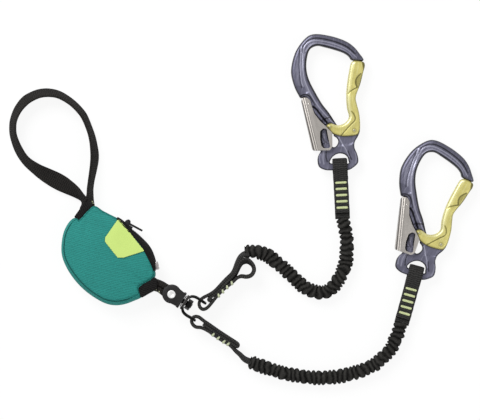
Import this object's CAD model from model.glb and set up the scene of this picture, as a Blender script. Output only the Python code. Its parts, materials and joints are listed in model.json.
"""Surface pieces, finishes and stage for a via ferrata lanyard laid flat and seen from straight above."""

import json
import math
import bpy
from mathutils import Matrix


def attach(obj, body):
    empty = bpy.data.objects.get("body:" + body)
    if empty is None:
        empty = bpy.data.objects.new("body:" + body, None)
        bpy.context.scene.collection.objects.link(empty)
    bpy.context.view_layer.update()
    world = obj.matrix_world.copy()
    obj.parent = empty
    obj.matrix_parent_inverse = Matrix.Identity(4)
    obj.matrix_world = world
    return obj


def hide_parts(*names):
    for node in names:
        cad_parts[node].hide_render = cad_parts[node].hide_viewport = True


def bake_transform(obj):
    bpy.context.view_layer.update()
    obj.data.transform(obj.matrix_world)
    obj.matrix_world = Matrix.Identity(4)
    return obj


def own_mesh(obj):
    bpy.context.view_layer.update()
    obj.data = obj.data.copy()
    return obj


bl_info = {
    "name": "Via ferrata lanyard",
    "version": (1, 0, 0),
    "blender": (4, 5, 0),
    "location": "View3D > Sidebar > Lanyard",
    "description": "Webbing, pouch, swivel, elastic arms and carabiners over the fixed frame, with their finishes",
    "category": "Add Mesh",
}

import bmesh
import bpy
from mathutils import Matrix, Vector, noise
from mathutils.bvhtree import BVHTree

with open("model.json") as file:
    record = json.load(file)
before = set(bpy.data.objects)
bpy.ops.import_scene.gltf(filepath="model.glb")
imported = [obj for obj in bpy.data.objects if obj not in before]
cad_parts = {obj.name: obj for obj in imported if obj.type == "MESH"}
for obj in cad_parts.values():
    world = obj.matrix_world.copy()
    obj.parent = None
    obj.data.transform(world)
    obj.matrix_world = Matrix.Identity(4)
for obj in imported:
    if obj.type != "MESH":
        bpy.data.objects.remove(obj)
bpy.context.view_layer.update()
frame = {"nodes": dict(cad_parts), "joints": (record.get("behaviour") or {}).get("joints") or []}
JOINTS = {joint["name"]: joint for joint in frame["joints"]}

# The view from above: metres to a pixel, and the pixel that lies at the frame's origin
PIXEL = 0.000925
CENTRE_PX = (241.12, 198.43)
PICTURE_PX = (480, 420)
BELT_MIDDLE = 0.0115
CARABINER_MIDDLE = 0.0075
CARABINER_UNIT = 0.127 / 1373
GATE_PIVOT_PX = (690, 1025)


def layout(point, height=0.0):
    """A pixel of the view from above as a place in the frame."""
    return Vector(((point[0] - CENTRE_PX[0]) * PIXEL, (CENTRE_PX[1] - point[1]) * PIXEL, height))


def made_smooth(points, steps, closed=False):
    """More points on a smooth line through the given ones, which may hold any count of values."""
    count = len(points)
    spans = count if closed else count - 1
    line = []
    for i in range(spans):
        if closed:
            picked = [points[(i + k) % count] for k in (-1, 0, 1, 2)]
        else:
            picked = [points[min(max(i + k, 0), count - 1)] for k in (-1, 0, 1, 2)]
        for step in range(steps):
            t = step / steps
            line.append(tuple(between(t, *values) for values in zip(*picked)))
    if not closed:
        line.append(tuple(points[-1]))
    return line


def between(t, before, here, there, after):
    """One coordinate of a Catmull-Rom span."""
    slope, next_slope, rise = (there - before) / 2, (after - here) / 2, there - here
    return here + slope * t + (3 * rise - 2 * slope - next_slope) * t * t + (slope + next_slope - 2 * rise) * t**3


# Shader maths


class Amount:
    """A shader socket whose arithmetic adds Math nodes to its tree."""

    def __init__(self, tree, socket):
        self.tree = tree
        self.socket = socket

    def combined(self, operation, *terms):
        node = self.tree.nodes.new("ShaderNodeMath")
        node.operation = operation
        for socket, term in zip(node.inputs, terms):
            if isinstance(term, Amount):
                self.tree.links.new(term.socket, socket)
            else:
                socket.default_value = term
        return Amount(self.tree, node.outputs[0])

    def __add__(self, other):
        return self.combined("ADD", self, other)

    def __sub__(self, other):
        return self.combined("SUBTRACT", self, other)

    def __rsub__(self, other):
        return self.combined("SUBTRACT", other, self)

    def __mul__(self, other):
        return self.combined("MULTIPLY", self, other)

    def __pow__(self, other):
        return self.combined("POWER", self, other)

    __radd__ = __add__
    __rmul__ = __mul__

    def wave(self, length):
        """From 0 to 1 and back in each length."""
        return self.combined("SINE", self * (math.tau / length)) * 0.5 + 0.5

    def fold(self, length):
        """A zigzag of the given length, from 0 to half of it."""
        return self.combined("PINGPONG", self, length / 2)

    def least(self, limit):
        return self.combined("MAXIMUM", self, limit)

    def most(self, limit):
        return self.combined("MINIMUM", self, limit)

    def over(self, edge, softness):
        """Rises from 0 to 1 where the value passes an edge."""
        return ((self - edge) * (1 / softness) + 0.5).least(0.0).most(1.0)


class Finish:
    """A material being mixed, with one method for any node."""

    def __init__(self, name, **constants):
        self.material = bpy.data.materials.new(name)
        self.material.use_nodes = True
        self.tree = self.material.node_tree
        self.shader = self.tree.nodes["Principled BSDF"]
        for socket, value in constants.items():
            self.shader.inputs[socket.replace("_", " ")].default_value = value

    def node(self, kind, settings=None, sockets=None, output=0):
        made = self.tree.nodes.new(kind)
        for name, setting in (settings or {}).items():
            setattr(made, name, setting)
        for name, value in (sockets or {}).items():
            if isinstance(value, Amount):
                self.tree.links.new(value.socket, made.inputs[name])
            else:
                made.inputs[name].default_value = value
        return Amount(self.tree, made.outputs[output])

    def place(self):
        return self.node("ShaderNodeTexCoord", output="Object")

    def strip(self):
        """The piece's own map: metres along it and metres across it."""
        return self.node("ShaderNodeTexCoord", output="UV")

    def axes(self, vector):
        return [self.node("ShaderNodeSeparateXYZ", None, {0: vector}, name) for name in "XYZ"]

    def stored(self, name):
        """A value that each point of the mesh carries."""
        return self.node("ShaderNodeAttribute", {"attribute_name": name}, None, "Fac")

    def stretched(self, vector, scale, turn=0.0):
        """Coordinates scaled along each axis, after a turn about Z."""
        settings = {"vector_type": "TEXTURE"}
        straight = self.node("ShaderNodeMapping", settings, {"Vector": vector, "Rotation": (0, 0, turn)})
        return self.node("ShaderNodeMapping", None, {"Vector": straight, "Scale": scale})

    def grain(self, vector, scale, detail=2.0, roughness=0.5):
        sockets = {"Vector": vector, "Scale": scale, "Detail": detail, "Roughness": roughness}
        return self.node("ShaderNodeTexNoise", None, sockets, "Fac")

    def tint(self, factor, first, second):
        sockets = {0: factor, 6: (*first, 1.0) if isinstance(first, tuple) else first, 7: (*second, 1.0)}
        return self.node("ShaderNodeMix", {"data_type": "RGBA"}, sockets, 2)

    def shades(self, factor, colour, dark, light):
        """From a darker to a lighter share of one colour."""
        return self.tint(factor, shade(colour, dark), shade(colour, light))

    def surface(self, colour, roughness, height=None, distance=0.0):
        """Links what changes over the surface, and gives the material."""
        links = {"Base Color": colour, "Roughness": roughness}
        if height is not None:
            links["Normal"] = self.node("ShaderNodeBump", None, {"Height": height, "Distance": distance}, "Normal")
        for name, value in links.items():
            self.tree.links.new(value.socket, self.shader.inputs[name])
        return self.material


def shade(colour, share):
    """A colour made darker or lighter by a share."""
    return tuple(min(channel * share, 1.0) for channel in colour)


def rgb(setting):
    return tuple(setting)[:3]


# Finishes

# Metres from rib to rib across woven tape, and from pick to pick along it
RIB, PICK = 0.0026, 0.0019
# From the lever's edge inwards: where a line runs, its half width, how dark (below 0) or bright it is, and its lift
FOLD_LINES = [
    (0.0002, 0.0006, -0.80, 0.0), (0.0014, 0.00045, 0.9, 0.6), (0.0024, 0.0004, -0.65, 0.0),
    (0.0033, 0.0004, 0.8, 0.5), (0.0041, 0.0003, -0.40, 0.0),
]  # fmt: skip


def webbing_finish(name, colour, turn=None):
    """Woven tape with a herringbone. Without a turn the piece's own map gives the weave's direction."""
    finish = Finish(name, Specular_IOR_Level=0.12)
    place = finish.place()
    if turn is None:
        along, across, _ = finish.axes(finish.strip())
    else:
        x, y, _ = finish.axes(place)
        along = x * math.cos(turn) + y * math.sin(turn)
        across = y * math.cos(turn) - x * math.sin(turn)
    weave = (along + across.fold(2 * RIB) * 0.25).wave(PICK) * 0.8 + across.wave(RIB) * 0.2
    fuzz = finish.grain(place, 700, 3)
    tone = finish.shades(weave * 0.7 + fuzz - 0.25, colour, 0.15, 2.1)
    tone = finish.tint(finish.grain(place, 55).over(0.62, 0.3) * 0.35, tone, shade(colour, 2.4))
    return finish.surface(tone, 0.78 + fuzz * 0.18, weave + fuzz * 0.35, 0.00045)


def ruffle_finish(name, colour):
    """Gathered sleeve: fine cords along it, dark in the folds."""
    finish = Finish(name, Specular_IOR_Level=0.08)
    along, around, _ = finish.axes(finish.strip())
    crest = finish.stored("crest")
    cords = around.wave(0.0011)
    fuzz = finish.grain(finish.place(), 620, 3)
    patches = finish.grain(finish.place(), 120)
    tone = finish.shades(crest**4 * 0.6 + fuzz * 1.1 + cords * 0.15 - 0.42, colour, 0.03, 2.1)
    tone = finish.tint(patches.over(0.6, 0.25) * crest * 0.3, tone, shade(colour, 3.2))
    return finish.surface(tone, 0.72 + fuzz * 0.2, cords * 0.5 + along.wave(0.0009) * 0.3 + fuzz * 0.9, 0.00045)


def pack_cloth_finish(name, colour):
    """Coated pack cloth with a ribbed weave, darker where the seam pulls it in."""
    finish = Finish(name, Specular_IOR_Level=0.25)
    x, y, z = finish.axes(finish.stretched(finish.place(), (1, 1, 1), math.radians(-12)))
    rows = y + z * 0.5
    weave = rows.wave(0.0016) * 0.7 + x.wave(0.0013) * rows.wave(0.0011) * 0.5
    fuzz = finish.grain(finish.place(), 620, 3)
    cloud = finish.grain(finish.place(), 38, 3)
    tone = finish.shades(weave * 0.5 + fuzz * 0.6 - 0.05, colour, 0.56, 1.44)
    tone = finish.tint(cloud.over(0.52, 0.5) * 0.25, tone, shade(colour, 0.62))
    tone = finish.tint((1.0 - finish.stored("crest")) * (0.45 + fuzz * 0.6), tone, shade(colour, 0.16))
    return finish.surface(tone, 0.66 + fuzz * 0.2, weave + fuzz * 0.7, 0.00026)


def tape_finish(name, colour):
    """Grosgrain tape with fine cross ribs."""
    finish = Finish(name, Specular_IOR_Level=0.12)
    x, y, z = finish.axes(finish.place())
    ribs = (x + y * 0.6).wave(0.0009) * 0.6 + z.wave(0.0008) * 0.4
    fuzz = finish.grain(finish.place(), 900, 3)
    tone = finish.shades(ribs * 0.6 + fuzz * 0.4, colour, 0.4, 1.4)
    return finish.surface(tone, 0.75 + fuzz * 0.2, ribs + fuzz * 0.4, 0.00015)


def patch_finish(name, colour):
    """Soft moulded patch with a fine grain and rubbed places."""
    finish = Finish(name, Specular_IOR_Level=0.35, Coat_Weight=0.05)
    grain = finish.grain(finish.place(), 1300, 3)
    worn = finish.grain(finish.place(), 90, 3)
    tone = finish.shades(grain * 0.5, colour, 0.92, 1.06)
    tone = finish.tint(worn.over(0.6, 0.3) * 0.25, tone, shade(colour, 0.82))
    return finish.surface(tone, 0.5 + worn * 0.15, grain, 0.00006)


def thread_finish(name, colour, turn=0.0):
    """Laid stitching: many threads side by side."""
    finish = Finish(name, Specular_IOR_Level=0.35, Sheen_Weight=0.2, Sheen_Roughness=0.4)
    x, y, _ = finish.axes(finish.place())
    threads = (x * math.cos(turn) + y * math.sin(turn)).wave(0.00105)
    fuzz = finish.grain(finish.place(), 1600)
    tone = finish.shades(threads * 0.6 + fuzz * 0.4, colour, 0.50, 1.10)
    return finish.surface(tone, 0.55 + fuzz * 0.2, threads + fuzz * 0.3, 0.0003)


def anodised_finish(name, colour, metallic, sheen_colour, shadow_colour):
    """Forged aluminium under a satin dye, darker in its creases and rubbed pale on its ridges."""
    finish = Finish(name, Metallic=metallic, Specular_IOR_Level=0.5, Coat_Roughness=0.2)
    cloud = finish.grain(finish.place(), 130, 3)
    blasted = finish.grain(finish.place(), 2200)
    drawn = finish.grain(finish.stretched(finish.strip(), (900, 60, 900), math.radians(-8)), 1, 3)
    tone = finish.stored("tone") + (cloud - 0.5) * 0.12
    light, dark = ((tone - 0.5) * 2).least(0.0), ((0.5 - tone) * 2).least(0.0)
    paint = finish.shades(cloud, colour, 0.80, 1.20)
    for share, tinge in ((drawn.over(0.60, 0.14) * 0.3, sheen_colour), (light, sheen_colour), (dark, shadow_colour)):
        paint = finish.tint(share.most(1.0), paint, tinge)
    return finish.surface(paint, 0.34 + cloud * 0.12 - light * 0.10, blasted * 0.6 + drawn * 0.4, 0.00003)


def rubbed(finish, chart, stretch, turn):
    """Fine lines in one direction, and the smears over them."""
    return finish.grain(finish.stretched(chart, (40, stretch, 900), turn), 1, 3, 0.6), finish.grain(chart, 110, 3)


def brushed_finish(name, colour, turn, roughness, metallic=1.0):
    """Steel rubbed in one direction."""
    finish = Finish(name, Metallic=metallic)
    lines, smears = rubbed(finish, finish.place(), 2600, turn)
    tone = finish.shades(lines * 0.7 + smears * 0.3, colour, 0.72, 1.22)
    return finish.surface(tone, roughness + lines * 0.14 + smears * 0.08, lines, 0.00004)


def folded_finish(name, colour, edge):
    """Brushed sheet steel on its own upright map, with fold lines beside one edge given by two places."""
    finish = Finish(name, Metallic=0.85)
    u, v, _ = finish.axes(finish.strip())
    way = (edge[1] - edge[0]).normalized()
    inward = Vector((-way.y, way.x, 0))
    reach = u * inward.x + v * inward.y - inward.dot(edge[0])
    lines, smears = rubbed(finish, finish.strip(), 1500, math.atan2(way.y, way.x))
    tone = finish.shades(lines * 0.6 + smears * 0.6, colour, 0.76, 1.16)
    height = lines * 0.1
    for place, width, amount, lift in FOLD_LINES:
        near = 1.0 - reach.combined("ABSOLUTE", reach - place).over(width, width * 0.8)
        tone = finish.tint(near * abs(amount), tone, shade(colour, 0.14 if amount < 0 else 1.9))
        height = height + near * lift
    return finish.surface(tone, 0.3 + lines * 0.14 + smears * 0.08, height, 0.00025)


def cast_finish(name, colour, roughness):
    """Steel with a rougher dark or plain skin."""
    finish = Finish(name, Metallic=1.0)
    skin = finish.grain(finish.place(), 900, 3)
    tone = finish.shades(skin * 0.5 + finish.grain(finish.place(), 140) * 0.5, colour, 0.6, 1.5)
    return finish.surface(tone, roughness + skin * 0.16, skin, 0.00006)


def moulded_finish(name, colour):
    """Moulded black plastic."""
    finish = Finish(name, Specular_IOR_Level=0.5)
    skin = finish.grain(finish.place(), 1500)
    return finish.surface(finish.shades(skin, colour, 0.7, 1.6), 0.38 + skin * 0.2, skin, 0.00004)


def elastic_finish(name, colour):
    """Covered rubber strands."""
    finish = Finish(name, Specular_IOR_Level=0.3)
    x, y, _ = finish.axes(finish.place())
    braid = (x + y).wave(0.0012) * (x - y).wave(0.0012)
    fuzz = finish.grain(finish.place(), 900)
    return finish.surface(finish.shades(braid + fuzz * 0.3, colour, 0.6, 1.3), 0.7 + fuzz * 0.2, braid, 0.0002)


def floor_finish(name, colour, brightness):
    """Plain pale floor, seen as white by the camera and in what mirrors it, with a share of its shadows kept."""
    finish = Finish(name, Specular_IOR_Level=0.0)
    mottle = finish.grain(finish.place(), 4)
    material = finish.surface(finish.shades(mottle * 0.2, colour, 1.0, 0.995), 0.9 + mottle * 0.05)
    rays = [f"Is {kind} Ray" for kind in ("Camera", "Glossy", "Transmission")]
    seen = sum(finish.node("ShaderNodeLightPath", output=ray) for ray in rays)
    bright = finish.node("ShaderNodeEmission", None, {"Color": (1, 1, 1, 1), "Strength": 1.0})
    lit = Amount(finish.tree, finish.shader.outputs[0])
    mixed = finish.node("ShaderNodeMixShader", None, {0: seen * brightness, 1: lit, 2: bright})
    finish.tree.links.new(mixed.socket, finish.tree.nodes["Material Output"].inputs["Surface"])
    return material


# Mesh helpers

MERGE = 0.00001
FLAT_ANGLE = math.radians(2)
FINE_ANGLE = math.radians(0.5)
EDGE_ANGLE = math.radians(30)
UP = Vector((0, 0, 1))
ORIGIN = Vector((0, 0, 0))


def loose(mesh, name):
    """An object made from a mesh."""
    data = bpy.data.meshes.new(name)
    mesh.to_mesh(data)
    mesh.free()
    made = bpy.data.objects.new(name, data)
    bpy.context.scene.collection.objects.link(made)
    return made


def piece(mesh, name, finish, body, slot, *nodes, sharp=None):
    """A finished object that rides on its body and stands for the nodes it replaces."""
    made = loose(mesh, name)
    made.data.materials.append(finish)
    made.data.shade_smooth()
    if sharp:
        made.data.set_sharp_from_angle(angle=math.radians(sharp))
    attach(made, body)
    if nodes:
        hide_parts(*nodes)
    return made


def modified(made, kind, **settings):
    """An object with one modifier more."""
    change = made.modifiers.new(kind.title(), kind)
    for name, value in settings.items():
        setattr(change, name, value)
    return made


def removed(made):
    data = made.data
    bpy.data.objects.remove(made)
    bpy.data.meshes.remove(data)


def settled(made):
    """The mesh that an object's modifiers leave. The object itself goes."""
    mesh = bmesh.new()
    mesh.from_object(made, bpy.context.evaluated_depsgraph_get())
    removed(made)
    return mesh


def carved(mesh, tool, voxel=None):
    """A mesh with a tool's mesh cut out of it, where there is one, and built of voxels where their size is given."""
    blank = loose(mesh, "blank")
    cutter = loose(tool, "cutter") if tool else None
    if cutter:
        modified(blank, "BOOLEAN", operation="DIFFERENCE", solver="EXACT", object=cutter)
    if voxel:
        modified(blank, "REMESH", mode="VOXEL", voxel_size=voxel)
    mesh = settled(blank)
    if cutter:
        removed(cutter)
    return mesh


def faced(mesh, way=0):
    """Faces turned outwards. With a way, up (above 0) or down, they are turned that way on the whole."""
    bmesh.ops.recalc_face_normals(mesh, faces=mesh.faces[:])
    if sum(f.normal.z * f.calc_area() for f in mesh.faces) * way < 0:
        bmesh.ops.reverse_faces(mesh, faces=mesh.faces[:])
    return mesh


def flattened(mesh, angle):
    """Faces that turn less than an angle, joined."""
    bmesh.ops.dissolve_limit(mesh, angle_limit=angle, verts=mesh.verts[:], edges=mesh.edges[:])
    return mesh


def moved(mesh, matrix):
    bmesh.ops.transform(mesh, matrix=matrix, verts=mesh.verts[:])
    return mesh


def merged_copy(node):
    """A copy of a node's mesh with its triangles joined into whole faces."""
    mesh = bmesh.new()
    mesh.from_mesh(frame["nodes"][node].data)
    bmesh.ops.remove_doubles(mesh, verts=mesh.verts[:], dist=MERGE)
    return faced(flattened(mesh, FLAT_ANGLE))


def bevelled(mesh, edges, width, segments):
    bmesh.ops.bevel(
        mesh, geom=edges, offset=width, offset_type="OFFSET", segments=segments, profile=0.5, affect="EDGES",
        clamp_overlap=True, material=-1,
    )  # fmt: skip
    return mesh


def softened(mesh, width, segments=3, least=EDGE_ANGLE, picked=None):
    """Edges that turn more than an angle, rounded."""
    edges = [e for e in mesh.edges if len(e.link_faces) == 2 and e.calc_face_angle() > least]
    return bevelled(mesh, [e for e in edges if picked(e)] if picked else edges, width, segments)


def upright_edge(edge):
    way = edge.verts[1].co - edge.verts[0].co
    return abs(way.z) > 0.9 * way.length


def joined(first, *others):
    """One mesh of several, with the others freed."""
    for other in others:
        data = bpy.data.meshes.new("joined")
        other.to_mesh(data)
        other.free()
        first.from_mesh(data)
        bpy.data.meshes.remove(data)
    return first


def plate(outline, low, high, holes=()):
    """An outline with its holes, filled and extruded from one height to another."""
    mesh = bmesh.new()
    edges = []
    for loop in (outline, *holes):
        verts = [mesh.verts.new((point[0], point[1], low)) for point in loop]
        edges += [mesh.edges.new(pair) for pair in zip(verts, verts[1:] + verts[:1])]
    bmesh.ops.triangle_fill(mesh, use_beauty=True, edges=edges)
    grown = bmesh.ops.extrude_face_region(mesh, geom=mesh.faces[:])["geom"]
    raised = [g for g in grown if isinstance(g, bmesh.types.BMVert)]
    bmesh.ops.translate(mesh, verts=raised, vec=(0, 0, high - low))
    return faced(flattened(mesh, FINE_ANGLE))


def row_by_row(mesh, lines, closed):
    """Rows of points, each extruded from the one before it."""
    around = (lambda row: zip(row, row[1:] + row[:1])) if closed else (lambda row: zip(row, row[1:]))
    row = [mesh.verts.new(point) for point in lines[0]]
    edges = [mesh.edges.new(pair) for pair in around(row)]
    rows = [row]
    for line in lines[1:]:
        grown = bmesh.ops.extrude_edge_only(mesh, edges=edges)["geom"]
        fresh = {g for g in grown if isinstance(g, bmesh.types.BMVert)}
        row = [next(o for o in (e.other_vert(v) for e in v.link_edges) if o in fresh) for v in row]
        edges = [mesh.edges.get(pair) for pair in around(row)]
        for vert, point in zip(row, line):
            vert.co = point
        rows.append(row)
    return rows


def swept(rings, along=None, girth=None, crest=None):
    """A skin over rings, capped at both ends, with its own map in metres along and round."""
    mesh = bmesh.new()
    layer = mesh.verts.layers.float.new("crest") if crest else None
    chart = mesh.loops.layers.uv.new("UVMap") if along else None
    rows = row_by_row(mesh, rings, True)
    for end in (0, -1):
        bmesh.ops.contextual_create(mesh, geom=rows[end])
    faced(mesh)
    for row, values in zip(rows, crest or ()):
        for vert, value in zip(row, values):
            vert[layer] = value
    if along:
        charted(mesh, chart, rows, along, girth)
    return mesh


def charted(mesh, chart, rows, along, girth):
    """The map of a swept skin: the last strip closes on the girth's end, not on its start."""
    where = {vert: (i, j) for i, row in enumerate(rows) for j, vert in enumerate(row)}
    for face in mesh.faces:
        columns = [where[loop.vert][1] for loop in face.loops]
        wraps = max(columns) - min(columns) > 1
        for loop, column in zip(face.loops, columns):
            column = len(rows[0]) if wraps and column == 0 else column
            loop[chart].uv = (along[where[loop.vert][0]], girth[column])


def travelled(points):
    """Distance along a line at each of its points."""
    lengths = [0.0]
    for first, second in zip(points, points[1:]):
        lengths.append(lengths[-1] + (Vector(second[:3]) - Vector(first[:3])).length)
    return lengths


def evenly(points, count, steps=14):
    """Evenly spaced rows on a smooth line through the given ones."""
    line = made_smooth(points, steps)
    lengths = travelled(line)
    rows, place = [], 0
    for i in range(count):
        wanted = lengths[-1] * i / (count - 1)
        while place < len(line) - 2 and lengths[place + 1] < wanted:
            place += 1
        share = (wanted - lengths[place]) / (lengths[place + 1] - lengths[place])
        rows.append(tuple(a + (b - a) * share for a, b in zip(line[place], line[place + 1])))
    return rows


def directions(points):
    ends = [points[0], *points, points[-1]]
    return [(after - before).normalized() for before, after in zip(ends, ends[2:])]


def side_and_rise(way):
    """The level direction to the left of a line, and the one over it."""
    side = Vector((-way.y, way.x, 0)).normalized()
    return side, way.cross(side)


def round_turn(count):
    """The cosine and sine of evenly spaced turns."""
    return [(math.cos(math.tau * k / count), math.sin(math.tau * k / count)) for k in range(count)]


def strap_section(width, thickness):
    """Places across a strap and through it, with full selvages."""
    return [
        (math.copysign(abs(c) ** 0.32, c) * width / 2, math.copysign(abs(s) ** 0.6, s) * thickness / 2)
        for c, s in round_turn(28)
    ]


def strap(rows, width, thickness, ripple=0.0, across=None):
    """Webbing along rows of x, y, z and a lean in degrees, where 0 stands on edge and 90 lies flat.

    With across given, rows have no lean: the webbing's width lies that way and wavers a little.
    """
    points = [Vector(row[:3]) for row in rows]
    section = strap_section(width, thickness)
    girth = travelled([(*mark, 0) for mark in [*section, section[0]]])
    rings = []
    for row, point, way in zip(rows, points, directions(points)):
        if across:
            broad = across * (1 + 0.035 * noise.noise(point * 330))
            thin, sway = across.cross(way).normalized(), 0.0
        else:
            side, rise = side_and_rise(way)
            lean = math.radians(row[3])
            broad = rise * math.cos(lean) + side * math.sin(lean)
            thin = side * math.cos(lean) - rise * math.sin(lean)
            sway = noise.noise(point * 60) * ripple
        rings.append([point + broad * wide + thin * (through + sway) for wide, through in section])
    return swept(rings, travelled(points), girth)


def tack(points, across, half_width, rise):
    """A bar of laid stitches along points, bulging from the webbing it is sewn through."""
    rings = []
    for i, point in enumerate(points):
        swell = (0.55, 0.85, 1.0)[min(i, len(points) - 1 - i, 2)] * (1.0 if i % 2 else 0.86)
        spread = across * half_width * swell
        rings.append([point + spread * c + UP * s * (rise if s > 0 else 0.0003) * swell for c, s in round_turn(10)])
    return swept(rings)


def tacks(places, height, way, across, half_width, rise):
    """Small bars of stitches at some places, all at one height and one way."""
    shares = [k / 6 - 0.5 for k in range(7)]
    return joined(*(
        tack([layout(place, height) + Vector(way) * share for share in shares], Vector(across), half_width, rise)
        for place in places
    ))  # fmt: skip


def wire(points, radius, sides):
    """A round wire through points, its section carried along without twist."""
    ways = directions(points)
    side = ways[0].orthogonal().normalized()
    rings = []
    for point, way in zip(points, ways):
        side = (side - way * side.dot(way)).normalized()
        rise = way.cross(side)
        rings.append([point + (side * c + rise * s) * radius for c, s in round_turn(sides)])
    return swept(rings)


def lathed(profile, matrix, sides=40):
    """A profile of distances from the axis and heights along it, spun a full turn."""
    mesh = bmesh.new()
    verts = [mesh.verts.new((reach, 0, height)) for reach, height in profile]
    edges = [mesh.edges.new(pair) for pair in zip(verts, verts[1:])]
    bmesh.ops.spin(
        mesh, geom=verts + edges, cent=(0, 0, 0), axis=(0, 0, 1), angle=math.tau, steps=sides, use_merge=True,
        use_normal_flip=False, use_duplicate=False,
    )  # fmt: skip
    bmesh.ops.remove_doubles(mesh, verts=mesh.verts[:], dist=MERGE)
    return moved(faced(mesh), matrix)


def double_headed(profile, place, sides):
    """A pin about an upright axis whose lower half mirrors its upper one."""
    mirrored = [(reach, -height) for reach, height in reversed(profile)]
    return lathed(profile + mirrored, Matrix.Translation(place), sides)


# Arms

SLEEVE_WIDTH = 0.013
SLEEVE_SIDES = 28
STATIONS_PER_GATHER = 9
SLEEVE_SEEDS = {"upper": 3.7, "lower": 11.2}
# Rows are x, y in pixels and the height share, if any, from the carabiner's to the belt's middle plane
SLEEVE_ROUTES = {
    "upper": [
        (244.6, 251.6, 1.0), (256.8, 251.6, 0.92), (267.6, 255.7, 0.62), (276.5, 262.0, 0.30), (289.0, 273.0, 0.06),
        (299.5, 283.6), (308.4, 288.9), (317.8, 292.2), (327.2, 290.9), (335.0, 284.8), (341.2, 274.2),
        (345.2, 264.2), (346.7, 254.4), (346.7, 244.4), (345.9, 235.6), (344.5, 226.6), (342.7, 217.6),
    ],
    "lower": [
        (249.55, 361.15, 1.0), (263.8, 366.8, 0.85), (279.0, 371.6, 0.45), (295.7, 375.4, 0.12), (314.8, 377.8),
        (327.6, 377.6), (340.3, 376.2), (353.0, 373.2), (365.8, 368.6), (378.4, 361.9), (387.8, 352.6),
        (394.2, 342.2), (398.2, 332.6), (401.6, 322.4),
    ],
}  # fmt: skip
SLEEVE_BENDS = {"upper": ((300, 283), (343, 221)), "lower": ((262, 366), (392, 340))}


def filled(rows):
    """Rows of three values, of which the last is 0 where it isn't given."""
    return [(*row, 0)[:3] for row in rows]


def sleeve_route(arm):
    rise = BELT_MIDDLE - CARABINER_MIDDLE
    return [(*layout((x, y))[:2], CARABINER_MIDDLE + rise * share) for x, y, share in filled(SLEEVE_ROUTES[arm])]


def gathered_sleeve(arm, gathers, depth):
    """A tube gathered in puffs, with each gather's slant, fulness and lumps its own, and its line and length."""
    points = [Vector(p) for p in evenly(sleeve_route(arm), gathers * STATIONS_PER_GATHER + 1)]
    along = travelled(points)
    pitch = along[-1] / gathers
    seed = SLEEVE_SEEDS[arm]
    rings, crest = [], []
    for point, way, reach in zip(points, directions(points), along):
        side, rise = side_and_rise(way)
        step = reach / pitch
        wander = 0.34 * noise.noise(Vector((step * 0.55, seed, 0)))
        slant = 0.75 * noise.noise(Vector((step * 0.30, seed + 4, 1)))
        narrowing = 0.84 + 0.16 * min(min(reach, along[-1] - reach) / 0.004, 1.0)
        ring, lifts = [], []
        for c, s in round_turn(SLEEVE_SIDES):
            spoke = side * c + rise * s
            local = 0.42 * noise.noise(Vector((spoke.x * 1.1, spoke.y * 1.1, step * 0.45 + seed)))
            phase = step + wander + slant * c + local
            puff = abs(math.sin(math.pi * phase)) ** 0.55
            full = 1.035 + 0.16 * noise.noise(Vector((math.floor(phase) * 1.7, seed, spoke.x * 0.8)))
            lump = 0.0011 * noise.noise((point + spoke * SLEEVE_WIDTH / 2) * 240)
            radius = SLEEVE_WIDTH / 2 * full - depth * (1 - puff) + lump * puff
            ring.append(point + spoke * min(radius, SLEEVE_WIDTH / 2 * 1.08) * narrowing)
            lifts.append(puff)
        rings.append(ring)
        crest.append(lifts)
    girth = [math.pi * SLEEVE_WIDTH * k / SLEEVE_SIDES for k in range(SLEEVE_SIDES + 1)]
    return swept(rings, along, girth, crest), points, along[-1]


def elastic_core(arm):
    """The rubber strands inside a sleeve, twisted together."""
    points = [Vector(p) for p in evenly(sleeve_route(arm), 60)]
    rings = []
    for i, (point, way) in enumerate(zip(points, directions(points))):
        side, rise = side_and_rise(way)
        bulges = [0.0031 + 0.0004 * math.cos(math.tau * k / 6 + i * 0.35) for k in range(18)]
        rings.append([point + (side * c + rise * s) * bulge for (c, s), bulge in zip(round_turn(18), bulges)])
    return swept(rings)


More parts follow.
